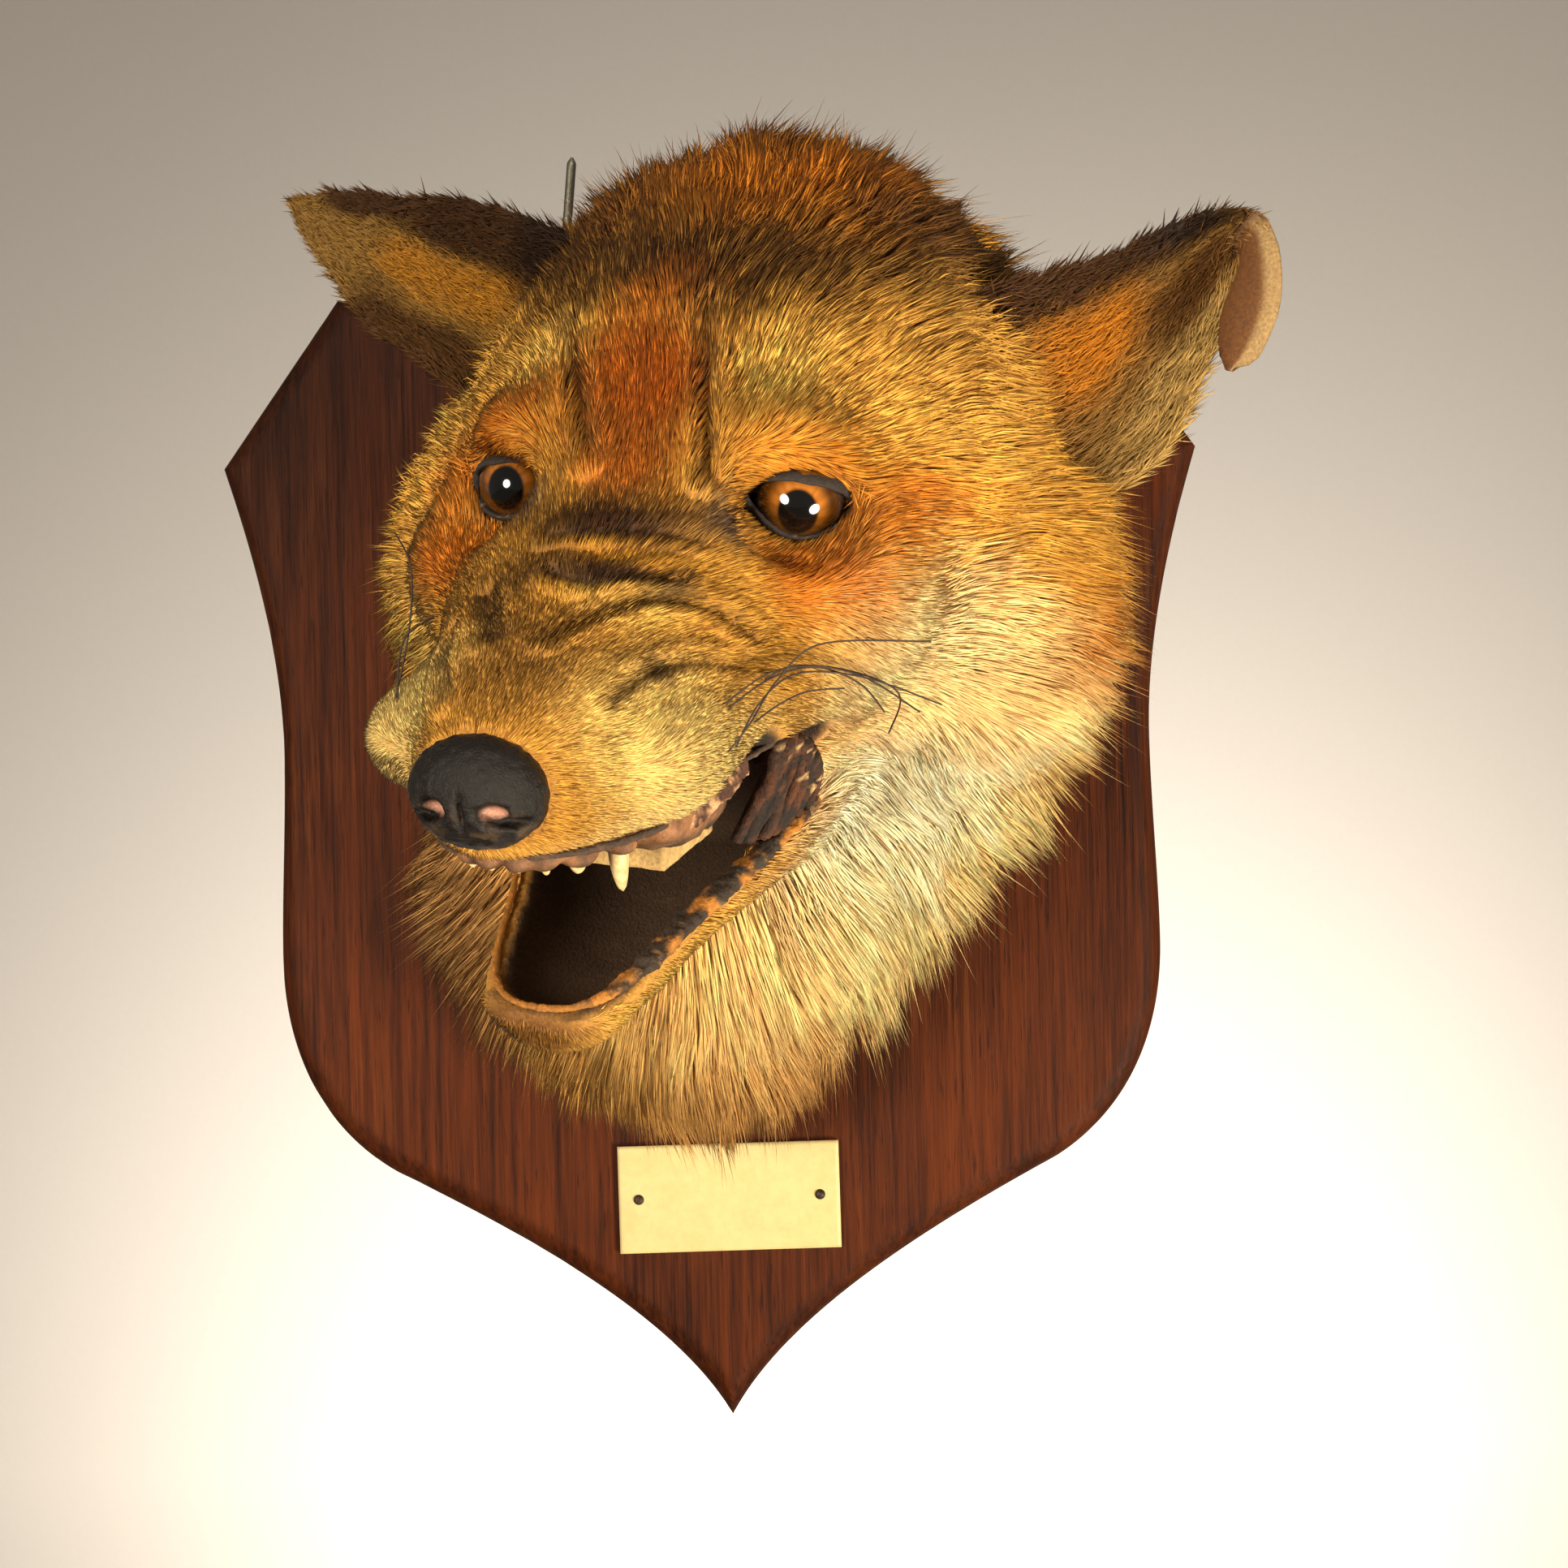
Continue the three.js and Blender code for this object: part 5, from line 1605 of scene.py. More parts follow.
@dataclass
class Eye:
    """A glass eye and its lids."""

    anatomy: Anatomy
    side: int
    opening: Flat = (9.9, 4.9)
    iris: Colour = (0.32, 0.105, 0.012)
    pupil: Colour = (0.002, 0.002, 0.002)
    border: Colour = (0.02, 0.012, 0.008)
    lid: Colour = (0.020, 0.013, 0.010)
    crust: Colour = (0.20, 0.13, 0.085)

    def ball(self) -> Shell:
        """Glass ball with a painted iris and pupil, the iris under painted shade from the lid at
        its top and painted light below.
        """
        gaze = unit(np.array([0.282, -0.942, -0.183] if self.side > 0 else [-0.041, -0.999, 0.003]))
        outward = unit(np.cross([0.0, 0.0, 1.0], gaze) * -self.side)
        axes = np.stack([outward, np.cross(outward, gaze) * -self.side, gaze], 1)
        sides = 72
        angle = np.concatenate([np.linspace(0, 1.15, 56), np.linspace(1.15, math.pi, 18)[1:]])[1:-1]
        rings = len(angle)
        turn = np.arange(sides) / sides * math.tau
        r = self.anatomy.eye_radius + 0.45 * np.exp(-(angle / 0.5) ** 2)
        flat = (r * np.sin(angle))[:, None]
        e = np.stack([flat * np.cos(turn), flat * np.sin(turn),
                      (r * np.cos(angle))[:, None] + 0 * turn], -1).reshape(-1, 3)
        e = np.vstack([e, [[0, 0, self.anatomy.eye_radius + 0.45]],
                       [[0, 0, -self.anatomy.eye_radius]]])
        faces = lattice(rings - 1, sides, sides)[:, [0, 3, 2, 1]]
        k = np.arange(sides)
        follow = (k + 1) % sides
        last = (rings - 1) * sides
        caps = np.vstack([np.stack([0 * k + len(e) - 2, k, follow, follow], 1),
                          np.stack([0 * k + len(e) - 1, last + follow, last + k, last + k], 1)])
        faces = np.vstack([faces, caps])
        away = np.hypot(e[:, 0] / 0.86, e[:, 1]) / self.anatomy.eye_radius
        away = np.where(e[:, 2] < 0, 2.0, away)
        spin = np.arctan2(e[:, 1], e[:, 0])
        streak = 0.85 + 0.25 * noise(np.stack([spin * 9, away * 3, spin * 0], -1), 1.0, 4)
        # painted shade and light: the iris darkens towards its top, as if shaded by the lid, and
        # brightens below
        painted_lid_shade = 0.22 + 0.9 * smooth_step(2.5, -3.5, e[:, 1] + 0.2 * e[:, 0] * self.side)
        iris = np.array(self.iris) * (streak * painted_lid_shade)[:, None]
        iris = iris * (1 - 0.85 * smooth_step(0.55, 0.85, away))[:, None]
        pupil = smooth_step(0.53, 0.45, away)[:, None]
        white = smooth_step(0.90, 0.98, away)[:, None]
        colour = tinted(tinted(iris, self.pupil, pupil), self.border, white)
        if self.side < 0:
            faces = faces[:, ::-1]
            faces = np.where((faces[:, 0] == faces[:, 1])[:, None], faces[:, [1, 2, 3, 0]], faces)
        q = self.anatomy.eye_centre(self.side) + e @ axes.T
        return Shell(self.anatomy.head.outward(q), faces, colour)

    def lids(self) -> Shell:
        """Thick dark rims round the almond opening."""
        axes = self.anatomy.eye_frame(self.side)
        count = 96
        turn = np.arange(count) / count * math.tau
        a, b = self.opening
        x = a * np.cos(turn) + 0.6
        corner = 1.15 + 0.9 * np.maximum(np.cos(turn), 0)
        y = b * np.sign(np.sin(turn)) * np.abs(np.sin(turn)) ** corner
        y = y * np.where(y > 0, 1.05, 0.95) - 0.9 * np.cos(turn) * (np.cos(turn) > 0)
        profile = np.array([[-0.1, 8.0], [0.0, 9.2], [0.3, 9.65], [0.7, 9.7], [1.25, 9.3],
                            [2.7, 7.6], [1.7, 6.4]])
        outward = unit(np.stack([np.cos(turn) / a, np.sin(turn) / b], 1))
        rings = []
        longer = 1 + 0.9 * np.abs(np.cos(turn[:, None])) ** 4
        for reach, height in profile:
            flat = np.stack([x, y], 1) + outward * reach * longer
            out = np.linalg.norm(flat, axis=1)
            depth = np.sqrt(np.maximum(height ** 2 - np.minimum(out, 0.93 * height) ** 2, 0))
            rings.append(np.column_stack([flat, depth - 0.55 * np.maximum(out - 0.93 * height, 0)]))
        e = np.stack(rings, 1).reshape(-1, 3)
        e = e + 0.26 * np.stack([rough(e, 1.5, s) for s in (1, 2, 3)], -1)
        m = len(profile)
        faces = (lattice(count, m, m) % len(e))[:, [0, 3, 2, 1]]
        if self.side > 0:
            faces = faces[:, ::-1]
        q = self.anatomy.eye_centre(self.side) + e @ axes.T
        outer = np.array([1, 1, 1, 0.6, 0, 0, 0])[np.arange(len(e)) % m]
        crust = smooth_step(0.35, 0.8, rough(e, 1.5, 8)) * outer
        return Shell(self.anatomy.head.outward(q), faces,
                     tinted(self.lid, self.crust, crust[:, None]))


@dataclass
class Nose:
    """Pebbled nose pad with comma nostrils."""

    anatomy: Anatomy
    at: Point = (0.0, -82.0, -37.2)
    half: Point = (11.8, 8.0, 9.4)
    leather: Colour = (0.006, 0.004, 0.003)
    rubbed: Colour = (0.06, 0.035, 0.018)
    nostril: Colour = (0.50, 0.25, 0.17)

    def level(self, q: Array) -> Array:
        """The pad's field in the head frame."""
        side = mirrored(q)
        x, y, z = self.at
        d = ellipsoid(q, self.at, self.half)
        d = smooth_max(d, -ellipsoid(side, (5.4, y - 7.4, z - 1.8), (2.7, 3.6, 2.0)), 1.0)
        d = smooth_max(d, -ellipsoid(side, (8.6, y - 4.6, z - 3.4), (3.2, 2.6, 1.0)), 0.8)
        return smooth_max(d, -ellipsoid(q, (x, y - 8.6, z - 4), (0.8, 2.2, 6)), 1.0)

    def make(self) -> Shell:
        """The pad in the row frame."""
        low = np.array([-14.0, -93.0, -49.0])
        shell = surface_nets(self.level, low, -low * np.array([1, 0, 0]) + [0, -71, -25], 0.45)
        q = shell.vertices
        pebble = np.abs(noise(q, 1.5, 31)) * 0.34 + 0.08 * noise(q, 0.8, 32)
        q = q + shell.normals() * (pebble[:, None] - 0.1)
        hollow = ellipsoid(mirrored(q), (5.2, -88.4, -39.0), (2.1, 3.4, 1.0))
        deep = (1 - smooth_step(-0.3, 0.5, hollow))[:, None]
        low = smooth_step(-35, -43, q[:, 2])
        worn = (smooth_step(0.1, 0.7, rough(q, 3.0, 33)) * low)[:, None]
        colour = tinted(tinted(self.leather, self.rubbed, worn), self.nostril, deep)
        return Shell(self.anatomy.head.outward(q), shell.faces, colour)


class Flesh(Enum):
    """Colours of dried flesh, filler and bone round the mouth."""

    PINK = (0.27, 0.115, 0.045)
    EDGE = (0.13, 0.06, 0.02)
    GUM = (0.07, 0.025, 0.012)
    CURL = (0.62, 0.34, 0.17)
    TOOTH = (0.70, 0.50, 0.24)
    RIM = (0.035, 0.021, 0.012)
    ASH = (0.20, 0.11, 0.045)
    CRUMB = (0.48, 0.185, 0.022)
    PIT = (0.014, 0.006, 0.003)
    RED = (0.10, 0.030, 0.008)
    DRY = (0.62, 0.40, 0.18)
    LIP = (0.06, 0.035, 0.022)
    FLECK = (0.20, 0.085, 0.035)


@dataclass
class Mouth:
    """Palate, gums, filler and teeth, and the crumbled rims of the lips."""

    anatomy: Anatomy
    palate: tuple = ((0, -73.5), (7.5, -73), (12, -68), (14.5, -62), (17, -50), (18.5, -37),
                     (18, -22), (16, -14), (12, -8), (0, -6))
    teeth: tuple = ((14.4, -58.0, 2.35, 10.4), (10.4, -66.5, 2.5, 4.6), (6.6, -71.2, 1.5, 4.0),
                    (2.4, -72.8, 1.5, 3.6))
    fibres: int = 9

    def level(self, q: Array) -> Array:
        """Palate, gums and filler in the head frame."""
        side = mirrored(q)
        outline = np.array(self.palate, float)
        outline = np.vstack([outline, outline[-2:0:-1] * [-1, 1]])
        plan = polygon_distance(q[:, :2], outline)
        ridges = 0.5 * np.cos(q[:, 1] * 1.1 + 0.04 * q[:, 0] ** 2)
        gum = 1.8 * np.exp(-((plan + 2.2) / 2.2) ** 2)
        floor = -50.0 - ridges * 0.5 - gum
        slab = np.maximum(plan, np.maximum(floor - q[:, 2], q[:, 2] + 45.0))
        filler = ellipsoid(q, (4, -40, -51.5), (20, 17, 4.0))
        filler = smooth_min(filler, ellipsoid(q, (19, -38, -49), (6, 17, 6)), 2.0)
        filler = filler - 0.9 * rough(q, 4.0, 41)
        d = smooth_min(slab, filler, 1.5)
        for x, y, radius, _ in self.teeth:
            d = smooth_min(d, ellipsoid(side, (x, y, -51.2), (radius + 1, radius + 1, 2)), 1.0)
        return d - 0.4 * rough(q, 2.4, 42)

    def torn_strip(self) -> Shell:
        """Curled strip of dried gum behind the drawn-up lip."""
        path = spline([(19, -51, -50.8), (23.5, -45, -49), (27, -38, -45.5),
                       (28.3, -31, -43.2)], 150)
        fray = 1 + 0.35 * noise(path, 3.0, 81)
        made = tube(path, np.stack([0.8 * fray, 2.1 * fray], 1), 16)
        q = made.vertices
        q = q + made.normals() * (0.7 * rough(q, 1.5, 82) + 0.5 * rough(q, 3.2, 83))[:, None]
        flesh = smooth_step(-0.2, 0.4, rough(q, 2.2, 84))[:, None]
        made.colours = tinted(Flesh.GUM.value, Flesh.CURL.value, flesh)
        made.vertices = self.anatomy.head.outward(q)
        return made

    def roof(self) -> Shell:
        """Everything modelled in the roof of the mouth."""
        low = np.array([-30.0, -79.0, -59.0])
        shell = surface_nets(self.level, low, np.array([30.0, -2.0, -43.0]), 0.8)
        q = shell.vertices
        edge = smooth_step(-51.3, -53.0, q[:, 2])[:, None]
        mottle = (0.72 + 0.75 * rough(q, 2.2, 43))[:, None]
        pink = np.array(Flesh.PINK.value) * mottle
        brown = np.array(Flesh.EDGE.value) * mottle
        # painted shade: the palate darkens towards the back of the mouth
        back = smooth_step(-50, -25, q[:, 1])[:, None]
        colour = tinted(pink, brown, edge) * (1 - 0.6 * back)
        return Shell(self.anatomy.head.outward(q), shell.faces, colour)

    def tooth(self, x: float, y: float, radius: float, length: float) -> Shell:
        """One curved, pointed tooth."""
        t = np.linspace(0, 1, 12)
        drop = -50.0 - length * t
        back = y + 0.20 * length * t ** 2
        path = np.stack([x + 0 * t, back, drop], 1)
        radii = radius * np.sqrt(np.clip(1 - t ** 1.7, 0.004, 1))
        made = tube(path, np.stack([radii * 0.8, radii], 1), 14, (0, 1, 0))
        shade = (0.55 + 0.45 * smooth_step(-50.5, -53, made.vertices[:, 2]))[:, None]
        made.colours = np.array(Flesh.TOOTH.value) * shade
        made.vertices = self.anatomy.head.outward(made.vertices)
        return made

    def dentition(self) -> Shell:
        """All upper teeth."""
        made = [self.tooth(side * x, y, r, h * (1.0 if side > 0 or x < 7 else 0.45))
                for x, y, r, h in self.teeth for side in (-1, 1)]
        whole = made[0]
        for one in made[1:]:
            whole = whole + one
        return whole

    def jaw_rim(self) -> Shell:
        """Crumbled dark rim along the lower lip, round the mouth's corners."""
        half = [(0.5, -59.8), (6, -58.8), (10.6, -55), (14, -48), (16.3, -40), (18.8, -30),
                (22.2, -20), (25.4, -10), (28.0, 0), (29, 8)]
        right = [(x, y, -53.2) for x, y in half]
        left = [(-x, y, -53.2) for x, y in half[::-1]]
        path = spline(left + right, 460)
        heavy = smooth_step(6, 18, path[:, 0])
        width = (0.7 + 1.7 * heavy) * (1 + 0.16 * noise(path, 5.0, 51))
        made = tube(path, np.stack([width, 0.45 * width + 0.35], 1), 18)
        q = made.vertices
        crumble = 0.5 * rough(q, 1.1, 52) + 0.55 * rough(q, 2.6, 55)
        q = q + made.normals() * ((0.3 + 0.75 * smooth_step(6, 18, q[:, 0])) * crumble)[:, None]
        spots = smooth_step(0.02, 0.45, rough(q, 3.4, 53))
        spots = np.maximum(spots, 0.8 * (1 - smooth_step(4, 15, q[:, 0])))[:, None]
        ash = smooth_step(0.2, 0.6, rough(q, 1.6, 54))[:, None]
        dark = tinted(Flesh.RIM.value, Flesh.ASH.value, ash)
        made.colours = tinted(dark, Flesh.CRUMB.value, spots)
        made.vertices = self.anatomy.head.outward(self.anatomy.jaw.outward(q))
        return made

    def cheek_lining(self) -> Shell:
        """Shrunken fibres between the right lip's corner and the jaw."""
        tops = spline([(29.4, -14, -42.5), (31.0, -9, -43.5), (32.2, -4, -45.8),
                       (31.4, 3, -50)], self.fibres)
        feet = spline([(19.0, -7, -64.6), (22.0, -4, -65.2), (25.4, 0, -64.2),
                       (28.2, 6, -60.8)], self.fibres)
        whole = None
        for index, (top, foot) in enumerate(zip(tops, feet)):
            middle = 0.5 * (top + foot) + np.array([0.0, 4.0, 0.0])
            path = spline([top, middle, foot], 26)
            first = 140 + 3 * index
            path = path + 0.7 * drift(path, 6.0, first, first + 1, first + 2)
            width = (1.6 - 0.05 * index) * (1 + 0.25 * noise(path, 5.0, 170 + index))
            made = tube(path, width, 8)
            q = made.vertices
            q = q + made.normals() * (0.3 * rough(q, 1.4, 150))[:, None]
            red = smooth_step(-0.3, 0.5, rough(q * [2.0, 2.0, 0.5], 2.2, 151))[:, None]
            dry = (smooth_step(0.4, 0.6, rough(q, 1.6, 152))
                   * smooth_step(28, 31, q[:, 0]))[:, None]
            fibre = tinted(Flesh.PIT.value, Flesh.RED.value, red)
            made.colours = tinted(fibre, Flesh.DRY.value, dry)
            made.vertices = self.anatomy.head.outward(q)
            whole = made if whole is None else whole + made
        return whole

    def lip_edge(self, side: int) -> Shell:
        """Dark edge of an upper lip, from the nose back to the mouth's corner."""
        line = [(2, -78, -48.2), (8, -76, -49.0), (13, -69.5, -49.4), (18, -60, -49.4),
                (22, -50, -48.6), (25, -42, -45.2), (26.5, -34, -43.0), (28.5, -25, -42.2),
                (29.5, -16, -41.6)]
        path = spline([(side * x, y, z) for x, y, z in line], 130)
        width = 0.62 + 0.18 * noise(path, 4.0, 61)
        made = tube(path, width, 12)
        q = made.vertices + made.normals() * (0.35 * rough(made.vertices, 1.8, 62))[:, None]
        spots = smooth_step(0.1, 0.7, rough(q, 3.0, 63))[:, None]
        made.colours = tinted(Flesh.LIP.value, Flesh.FLECK.value, spots)
        made.vertices = self.anatomy.head.outward(q)
        return made


@dataclass
class Board:
    """The small sawn board that props the palate."""

    anatomy: Anatomy
    x: float = -1.0
    width: float = 38.0
    front: float = -45.0
    depth: float = 26.0
    height: float = 4.7
    top: float = -55.0
    timber: Colour = (0.60, 0.38, 0.14)

    def make(self) -> Shell:
        """A box with slightly rough faces."""
        counts = (45, 27, 6)
        low = np.array([self.x - self.width / 2, self.front, self.top - self.height])
        size = np.array([self.width, self.depth, self.height])
        shell = grid_box(low, size, counts)
        q = shell.vertices
        shell.vertices = q + 0.14 * drift(q, 2.4, 71, 72, 73)
        shade = (0.8 + 0.25 * noise(q * [0.2, 1, 1], 1.2, 74))[:, None]
        shell.colours = np.array(self.timber) * shade
        shell.vertices = self.anatomy.head.outward(shell.vertices)
        return shell


def grid_box(low: Array, size: Array, counts: tuple[int, int, int]) -> Shell:
    """A closed box whose faces are cut into a grid."""
    seen: dict[tuple[int, int, int], int] = {}
    vertices, faces = [], []

    def corner(cell: tuple[int, int, int]) -> int:
        """Index of a grid corner, made once."""
        if cell not in seen:
            seen[cell] = len(vertices)
            vertices.append(low + size * np.array(cell) / counts)
        return seen[cell]

    for axis in range(3):
        u, v = (axis + 1) % 3, (axis + 2) % 3
        for end in (0, counts[axis]):
            for i in range(counts[u]):
                for k in range(counts[v]):
                    quad = []
                    for di, dk in ((0, 0), (1, 0), (1, 1), (0, 1)):
                        cell = [0, 0, 0]
                        cell[axis], cell[u], cell[v] = end, i + di, k + dk
                        quad.append(corner(tuple(cell)))
                    faces.append(quad if end else quad[::-1])
    return Shell(np.array(vertices), np.array(faces))


# ------------------------------------------------------------------------- shield and fittings

@dataclass
class Shield:
    """Pointed oak shield with a rounded moulding worn by age."""

    thickness: float = 18.0
    top: Flat = (91.7, 139.9)
    shoulder: Flat = (121.0, 98.5)
    curves: tuple = (((114.5, 78), (107.8, 52), (107.8, 28)), ((107.8, 10), (109.3, -8),
                     (109.3, -24)), ((109.3, -46), (101, -66), (82, -77.4)),
                     ((46, -96), (13, -116.5), (0, -139.8)))
    moulding: float = 6.5
    moulding_depth: float = 7.0
    groove: Point = (3.0, 3.1, 112.0)
    groove_at: Point = (-38.3, -1.2, 127.0)
    groove_lean: float = 5.5

    def outline(self, step: float = 1.6) -> Array:
        """The edge, from the tip up the right side and round, as (x, z)."""
        right = [np.array([self.shoulder])]
        start = np.array(self.shoulder)
        for one, two, end in (np.array(c, float) for c in self.curves):
            t = np.linspace(0, 1, 60)[1:, None]
            right.append((1 - t)**3 * start + 3 * (1 - t)**2 * t * one + 3 * (1 - t) * t**2 * two
                         + t**3 * end)
            start = end
        side = np.vstack(right)
        side = np.vstack([resample(np.array([self.top, self.shoulder]), step)[:-1],
                          resample(side, step)])
        left = side[::-1] * [-1, 1]
        across = resample(np.array([[-self.top[0], self.top[1]], self.top]), step)
        return np.vstack([side[:-1], left[:-1], across[:-1]])

    def face(self, edge: Array) -> tuple[Array, Array, Array]:
        """Front face and moulding.

        Args:
            edge: the outline, (n, 2).

        Returns:
            Vertices, triangles and the index of each outline point among the vertices.
        """
        ahead = unit(np.roll(edge, -1, 0) - edge)
        here = np.stack([ahead[:, 1], -ahead[:, 0]], 1)
        inward = unit(here + np.roll(here, 1, 0))
        inward = inward / (inward * here).sum(1, keepdims=True)
        spots = [edge]
        for angle in np.linspace(0, math.pi / 2, 10)[1:]:
            reach = self.moulding * (1 - math.cos(angle))
            flat = edge + inward * reach
            spots.append(flat[polygon_distance(flat, edge) < 0.04 - reach])
        cloud = [Vector(spot) for spot in np.vstack(spots)]
        n = len(edge)
        ring = [(i, (i + 1) % n) for i in range(n)]
        at, _, faces, origins, _, _ = delaunay_2d_cdt(cloud, ring, [], 1, 1e-5)
        home = {one: index for index, some in enumerate(origins) for one in some}
        flat = np.array([tuple(v) for v in at])
        deep = np.clip(-polygon_distance(flat, edge), 0, self.moulding)
        cosine = 1 - deep / self.moulding
        level = self.thickness - self.moulding_depth * (1 - np.sqrt(1 - cosine ** 2))
        rim = np.array([home[i] for i in range(n)])
        level[rim] = self.thickness - self.moulding_depth
        vertices = np.column_stack([flat[:, 0], -level, flat[:, 1]])
        wear = smooth_step(0.15, 0.7, rough(vertices, 12, 81)) * smooth_step(0.0, 0.6, cosine)
        vertices[:, 1] += 0.45 * wear * (deep > 0)
        return vertices, np.array(faces), rim

    def make(self) -> Shell:
        """The closed shield with its face, moulding, edge and back, its colours darker on the
        moulding and under painted shade towards the top left.
        """
        edge = self.outline()
        vertices, faces, rim = self.face(edge)
        a, b, c = (vertices[faces[:, i]] for i in range(3))
        backward = np.cross(b - a, c - a)[:, 1] > 0
        faces = np.where(backward[:, None], faces[:, ::-1], faces)
        levels = [8.0, 4.0, 0.6, 0.0]
        base = len(vertices)
        n = len(edge)
        rows = [np.column_stack([edge[:, 0], 0 * edge[:, 0] - level, edge[:, 1]])
                for level in levels]
        rows[-1][:, [0, 2]] *= 0.997
        loops = [rim] + [base + i * n + np.arange(n) for i in range(len(levels))]
        walls = [np.stack([one, np.roll(one, -1), np.roll(two, -1), two], 1)
                 for one, two in zip(loops[:-1], loops[1:])]
        vertices = np.vstack([vertices, *rows])
        centre = len(vertices)
        last = loops[-1]
        vertices = np.vstack([vertices, [[0, 0, 0]]])
        hub = np.full(n, centre)
        fan = np.stack([last, np.roll(last, -1), hub, hub], 1)
        shell = Shell(vertices, np.vstack([as_quads(faces), *walls, fan]))
        deep = -polygon_distance(vertices[:, [0, 2]], edge)
        # darker on the moulding towards the edge, with a little random tone
        worn = 0.62 + 0.38 * smooth_step(4.0, 8.5, deep) + 0.10 * rough(vertices, 9.0, 83)
        # painted shade: the shield darkens towards its top left; worn carries this painted shade
        # from here on
        top_left_painted_shade = smooth_step(10, -80, vertices[:, 0]) * smooth_step(20, 110, vertices[:, 2])
        worn = worn * (1 - 0.55 * top_left_painted_shade)
        chip = np.exp(-(np.linalg.norm((vertices - [-4, -18, -114]) / [2.6, 3, 1.4], axis=1)) ** 2)
        shell.colours = np.clip(worn, 0, 1.2)[:, None] * (1 + chip[:, None] * [4.0, 7.0, 12.0])
        return shell

    def object(self, material: bpy.types.Material) -> bpy.types.Object:
        """The shield with a groove for the rod in its back."""
        piece = build("shield_oak", self.make(), material)
        size = np.array(self.groove)
        groove = grid_box(-size * [0.5, 0.5, 0.5], size, (1, 1, 1))
        turn = rotation("Y", self.groove_lean)
        groove.vertices = groove.vertices @ turn.T + np.array(self.groove_at)
        cutter = build("groove", groove, material, smooth=False)
        cut = piece.modifiers.new("groove", "BOOLEAN")
        cut.object = cutter
        cut.solver = "EXACT"
        freeze(piece)
        bpy.data.objects.remove(cutter)
        piece.data.set_sharp_from_angle(angle=math.radians(28))
        return piece


def resample(points: Array, step: float) -> Array:
    """A path at even steps, its ends kept."""
    gaps = np.linalg.norm(np.diff(points, axis=0), axis=1)
    run = np.concatenate([[0], np.cumsum(gaps)])
    even = np.linspace(0, run[-1], max(2, int(run[-1] / step) + 1))
    return np.stack([np.interp(even, run, points[:, a]) for a in range(points.shape[1])], 1)


@dataclass
class Fittings:
    """Label plate, its pins and the hanging rod."""

    plate: Point = (54.4, 0.9, 26.3)
    plate_at: Point = (0.6, -18.3, -84.3)
    tilt: float = -0.4
    pin_spacing: float = 44.6
    pin_radius: float = 1.3
    pin_flatness: Point = (1.0, 0.7, 1.0)
    rod_top: Point = (-33.4, -1.5, 177.0)
    rod_length: float = 104.0
    rod_lean: float = 5.5
    rod_radius: float = 1.2

    def label(self) -> Shell:
        """The bare plate, slightly warped."""
        size = np.array(self.plate)
        shell = grid_box(-size * [0.5, 1, 0.5], size, (54, 1, 26))
        q = shell.vertices
        q[:, 1] -= 0.05 * (1 - np.cos(q[:, 0] / 9.0))
        q = q @ rotation("Y", self.tilt).T
        return Shell(q + np.array(self.plate_at), shell.faces)

    def pins(self, material: bpy.types.Material) -> bpy.types.Object:
        """Two domed pins through the ends of the label, set on points by a node group."""
        half = np.array([self.pin_spacing / 2, 0.0, 0.0]) @ rotation("Y", self.tilt).T
        seat = np.array(self.plate_at) - [0.0, self.plate[1], 0.0]
        piece = plain("label_pins", [tuple((seat + side * half) * MM) for side in (-1, 1)], [], [])
        heads = Recipe("pin_heads", Points="Geometry", Radius="Float", Flatness="Vector")
        head = heads.node("GeometryNodeMeshUVSphere", {
            "Segments": 20, "Rings": 10, "Radius": heads.given("Radius")})
        both = heads.node("GeometryNodeInstanceOnPoints", {
            "Points": heads.given("Points"), "Instance": head, "Scale": heads.given("Flatness")})
        return heads.run(piece, both, material, Radius=self.pin_radius * MM,
                         Flatness=self.pin_flatness)

    def rod(self) -> Shell:
        """Steel rod with a rounded top."""
        t = np.concatenate([[0, 0.3, 0.8, 1.5], np.linspace(3, self.rod_length, 40)])
        lean = math.radians(self.rod_lean)
        top = np.array(self.rod_top)
        path = top + t[:, None] * np.array([-math.sin(lean), 0, -math.cos(lean)])
        radii = self.rod_radius * np.sqrt(np.clip(t / 1.5, 0.12, 1))
        return tube(path, radii, 24, (0, 1, 0))


